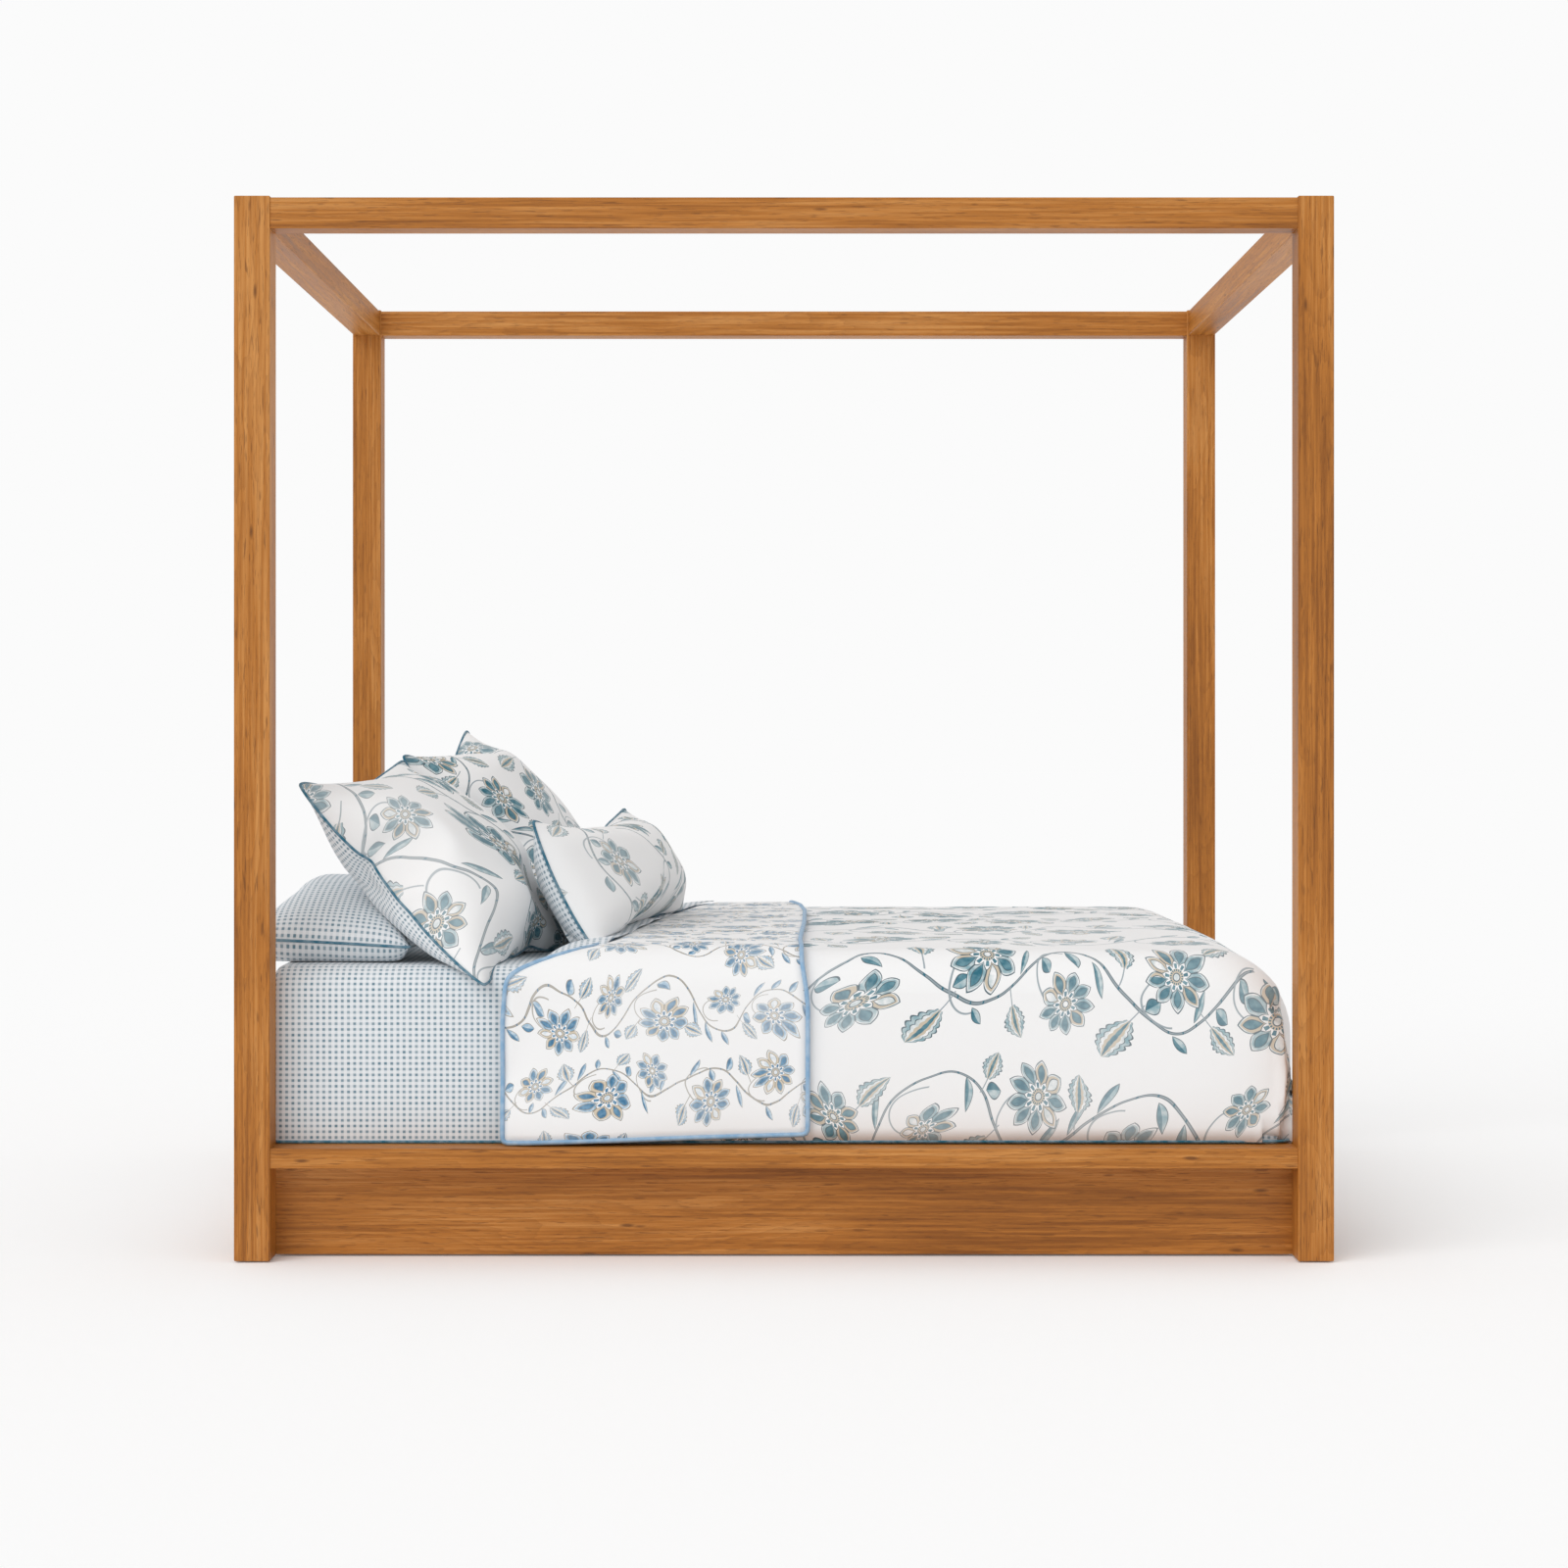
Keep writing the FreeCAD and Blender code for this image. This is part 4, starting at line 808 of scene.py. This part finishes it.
# cut: the case laid flat, tall by wide; front and back: how full each side stays; sag: how far the
# filling has slid to the lower edge; bow: how far the middle sinks back between its two edges;
# slack: how much thinner it is along those two edges; middle, yaw, roll and lean place it;
# shift moves its print; presses names the pillows that it leans on
sleeper = {"cut": (0.365, 0.74), "front": 1.1, "back": 1.3, "sag": 0, "bow": 0, "slack": 0, "yaw": 0,
           "lean": 2.7, "roll": 0, "print": "check"}
pillows = {
    "sleeping_pillow_left": dict(sleeper, body="sleeper_left", middle=(-0.938, -0.352, 0.629), shift=(0, 0)),
    "sleeping_pillow_right": dict(sleeper, body="sleeper_right", middle=(-0.938, 0.352, 0.629),
                                  shift=(0.04, 0.1)),
    "euro_sham_left": {
        "body": "sham_left", "cut": (0.635, 0.62), "front": 1.15, "back": 0.55, "sag": 0.05, "bow": 0.045,
        "slack": 0.65, "middle": (-0.718, -0.490, 0.778), "yaw": -15, "lean": 46, "roll": 3,
        "print": "large", "shift": (0.10, 0.03), "presses": ["sleeping_pillow_left"]},
    "euro_sham_right": {
        "body": "sham_right", "cut": (0.645, 0.63), "front": 1.15, "back": 0.55, "sag": 0.05, "bow": 0.045,
        "slack": 0.5, "middle": (-0.645, 0.350, 0.806), "yaw": -9, "lean": 51, "roll": 6,
        "print": "large", "shift": (0.43, 0.28), "presses": ["sleeping_pillow_right"]},
    "lumbar_pillow": {
        "body": "lumbar", "cut": (0.335, 1.0), "front": 1.25, "back": 0.85, "sag": 0.05, "bow": 0.02,
        "slack": 0.4, "middle": (-0.382, -0.120, 0.736), "yaw": -8.5, "lean": 63, "roll": 0,
        "print": "large", "shift": (0.72, 0.42), "presses": ["euro_sham_left", "euro_sham_right"]},
}
# what the pillows lie on: the sheet's top, its round shoulder, and how far the coverlet stands over it
bedding = {"top": 0.5885, "shoulder": 0.054, "halfFlat": 0.712, "cuffRise": 0.046}


def pillowTurn(plan):
    turns = [Matrix.Rotation(math.radians(plan[word]), 4, axis)
             for word, axis in (("yaw", "Z"), ("roll", "X"), ("lean", "Y"))]
    return Matrix.Translation(plan["middle"]) @ turns[0] @ turns[1] @ turns[2]


def onSeam(edge):
    return len({face.material_index for face in edge.link_faces}) == 2


def sewPillow(plan):
    # two panels with rounded corners, sewn round the edge; each keeps its flat cloth coordinates
    tall, wide = plan["cut"]
    bm = bmesh.new()
    layer = bm.loops.layers.uv.new("cloth")
    for side in (1, -1):
        made = bmesh.ops.create_grid(bm, x_segments=round(tall / case["cell"]),
                                     y_segments=round(wide / case["cell"]), size=0.5)["verts"]
        faces = {f for v in made for f in v.link_faces}
        for face in faces:
            face.material_index = 0 if side > 0 else 1
            for loop in face.loops:
                place = loop.vert.co
                loop[layer].uv = (place.x * tall + plan["shift"][0], place.y * wide + plan["shift"][1])
        if side < 0:
            bmesh.ops.reverse_faces(bm, faces=list(faces))
        for vert in made:
            x, y = vert.co.x * tall, vert.co.y * wide
            full = max(0.0, (1 - (vert.co.x * 2) ** 4) * (1 - (vert.co.y * 2) ** 4)) ** 0.5
            over = [max(0.0, abs(value) - whole / 2 + case["corner"])
                    for value, whole in ((x, tall), (y, wide))]
            if min(over) > 0:
                share = max(over) / math.hypot(*over)
                x = math.copysign(tall / 2 - case["corner"] + over[0] * share, x)
                y = math.copysign(wide / 2 - case["corner"] + over[1] * share, y)
            vert.co = Vector((x, y, side * full * case["start"]))
    bmesh.ops.remove_doubles(bm, verts=bm.verts, dist=0.0005)
    crease = bm.edges.layers.float.new("crease_edge")
    for edge in bm.edges:
        if onSeam(edge):
            edge[crease] = 1.0
    return bm


def seamOrder(bm):
    # the seam's vertices in order, along the edges between a front face and a back face
    links = {}
    for edge in bm.edges:
        if onSeam(edge):
            for vert in edge.verts:
                links.setdefault(vert, []).append(edge.other_vert(vert))
    start = next(iter(links))
    line = [start]
    before = None
    while True:
        after = next(v for v in links[line[-1]] if v is not before)
        if after is start:
            return [v.index for v in line]
        before = line[-1]
        line.append(after)


def inflate(piece):
    # blows the sewn case up as its filling does
    soft = piece.modifiers.new("filling", "CLOTH")
    soft.settings.quality = case["quality"]
    soft.settings.mass = case["weight"]
    soft.settings.tension_stiffness = soft.settings.compression_stiffness = case["tension"]
    soft.settings.shear_stiffness = case["shear"]
    soft.settings.bending_stiffness = case["bending"]
    soft.settings.use_pressure = True
    soft.settings.uniform_pressure_force = case["pressure"]
    soft.settings.effector_weights.gravity = 0
    soft.settings.air_damping = case["damping"]
    soft.point_cache.frame_end = case["frames"]
    for step in range(1, case["frames"] + 1):
        scene.frame_set(step)
    applied(piece)
    scene.frame_set(1)


def slump(piece, plan):
    # a used pillow: flatter behind, fuller below, and bowed where its middle sinks back
    bm = bmesh.new()
    bm.from_mesh(piece.data)
    for again in range(2):
        bmesh.ops.smooth_vert(bm, verts=bm.verts, factor=0.4, use_axis_x=True, use_axis_y=True,
                              use_axis_z=True)
    for vert in bm.verts:
        u, v = (max(-1.0, min(1.0, vert.co[axis] / plan["cut"][axis] * 2)) for axis in (0, 1))
        vert.co.z *= plan["front"] if vert.co.z > 0 else plan["back"]
        vert.co.z *= (1 + plan["sag"] * u) * (1 - plan["slack"] * smoothStep(0.45, 1.0, abs(u)))
        vert.co.x -= math.copysign(case["ears"] * u ** 4 * (1 - v * v), u)
        vert.co.y -= math.copysign(case["ears"] * v ** 4 * (1 - u * u), v)
        vert.co.z -= plan["bow"] * (1 - u * u)
    bm.to_mesh(piece.data)
    bm.free()


def restHeight(x, y, onCuff):
    # the top of the bedding: the fitted sheet's, rounded down at its sides, or the coverlet's
    shoulder = bedding["shoulder"]
    over = min(shoulder, max(0.0, abs(y) - bedding["halfFlat"]))
    level = bedding["top"] - (shoulder - math.sqrt(shoulder ** 2 - over ** 2))
    if onCuff:
        level += bedding["cuffRise"] * smoothStep(-0.05, 0.0, x - through(cuff["edge"], y))
    return level


def settle(piece, onCuff):
    # nothing goes below the cloth that a pillow rests on
    for vert in piece.data.vertices:
        level = restHeight(vert.co.x, vert.co.y, onCuff)
        if vert.co.z < level:
            vert.co.z = level + (vert.co.z - level) * 0.04


def pressInto(piece, plan):
    # a pillow that leans on this one pushes it flat
    turn = pillowTurn(plan)
    back = turn.inverted()
    halfTall, halfWide = (side / 2 for side in plan["cut"])
    nearest, furthest = case["reach"]
    for vert in piece.data.vertices:
        local = back @ vert.co
        u, v = local.x / halfTall, local.y / halfWide
        if abs(u) < 1 and abs(v) < 1 and local.z > nearest:
            depth = case["halfThick"] * plan["back"] * math.sqrt((1 - u ** 4) * (1 - v ** 4))
            depth += plan["bow"] * (1 - u * u) + case["gap"]
            if -depth < local.z < furthest:
                local.z = -depth
                vert.co = turn @ local


def buildPillow(name, plan, cloths):
    bm = sewPillow(plan)
    bm.verts.index_update()
    seam = seamOrder(bm)
    words = name.split("_")
    title = words[0] + "".join(word.capitalize() for word in words[1:]) + "Case"
    slot = "check_cotton" if plan["print"] == "check" else "floral_large"
    piece = softPiece(title, bm, plan["body"], name, slot, cloths[plan["print"]], cloths["check"])
    inflate(piece)
    slump(piece, plan)
    piece.data.transform(pillowTurn(plan))
    settle(piece, name == "lumbar_pillow")
    return piece, seam


def finishPillow(piece, seam, plan, cloths):
    smooth = piece.modifiers.new("smooth", "SUBSURF")
    smooth.levels = smooth.render_levels = 1
    line = [piece.data.vertices[i].co.copy() for i in seam]
    sewnTube(piece.name.replace("Case", "Piping"), line, piping["radius"], cloths["teal"], plan["body"])


def buildPillows(cloths):
    made = {}
    for name, plan in pillows.items():
        made[name] = buildPillow(name, plan, cloths)
    for plan in pillows.values():
        for under in plan.get("presses", ()):
            pressInto(made[under][0], plan)
    for name, (piece, seam) in made.items():
        finishPillow(piece, seam, pillows[name], cloths)
        print(name, "filled")


placeCamera()
buildStudio()
dressFrame()
cloths = {"check": checkMaterial("dotCheckCotton"), "large": floralMaterial("largeFloralCotton", largeFloral),
          "small": floralMaterial("smallFloralCotton", smallFloral),
          "teal": plainCloth("tealPiping", piping["teal"]), "sky": plainCloth("skyBinding", piping["sky"]),
          "ticking": plainCloth("mattressTicking", "#E9E7E1")}
print("cloths made:", len(cloths))
buildMattress(cloths)
buildDuvet(cloths)
buildCuff(cloths)
buildFold(cloths)
buildPillows(cloths)
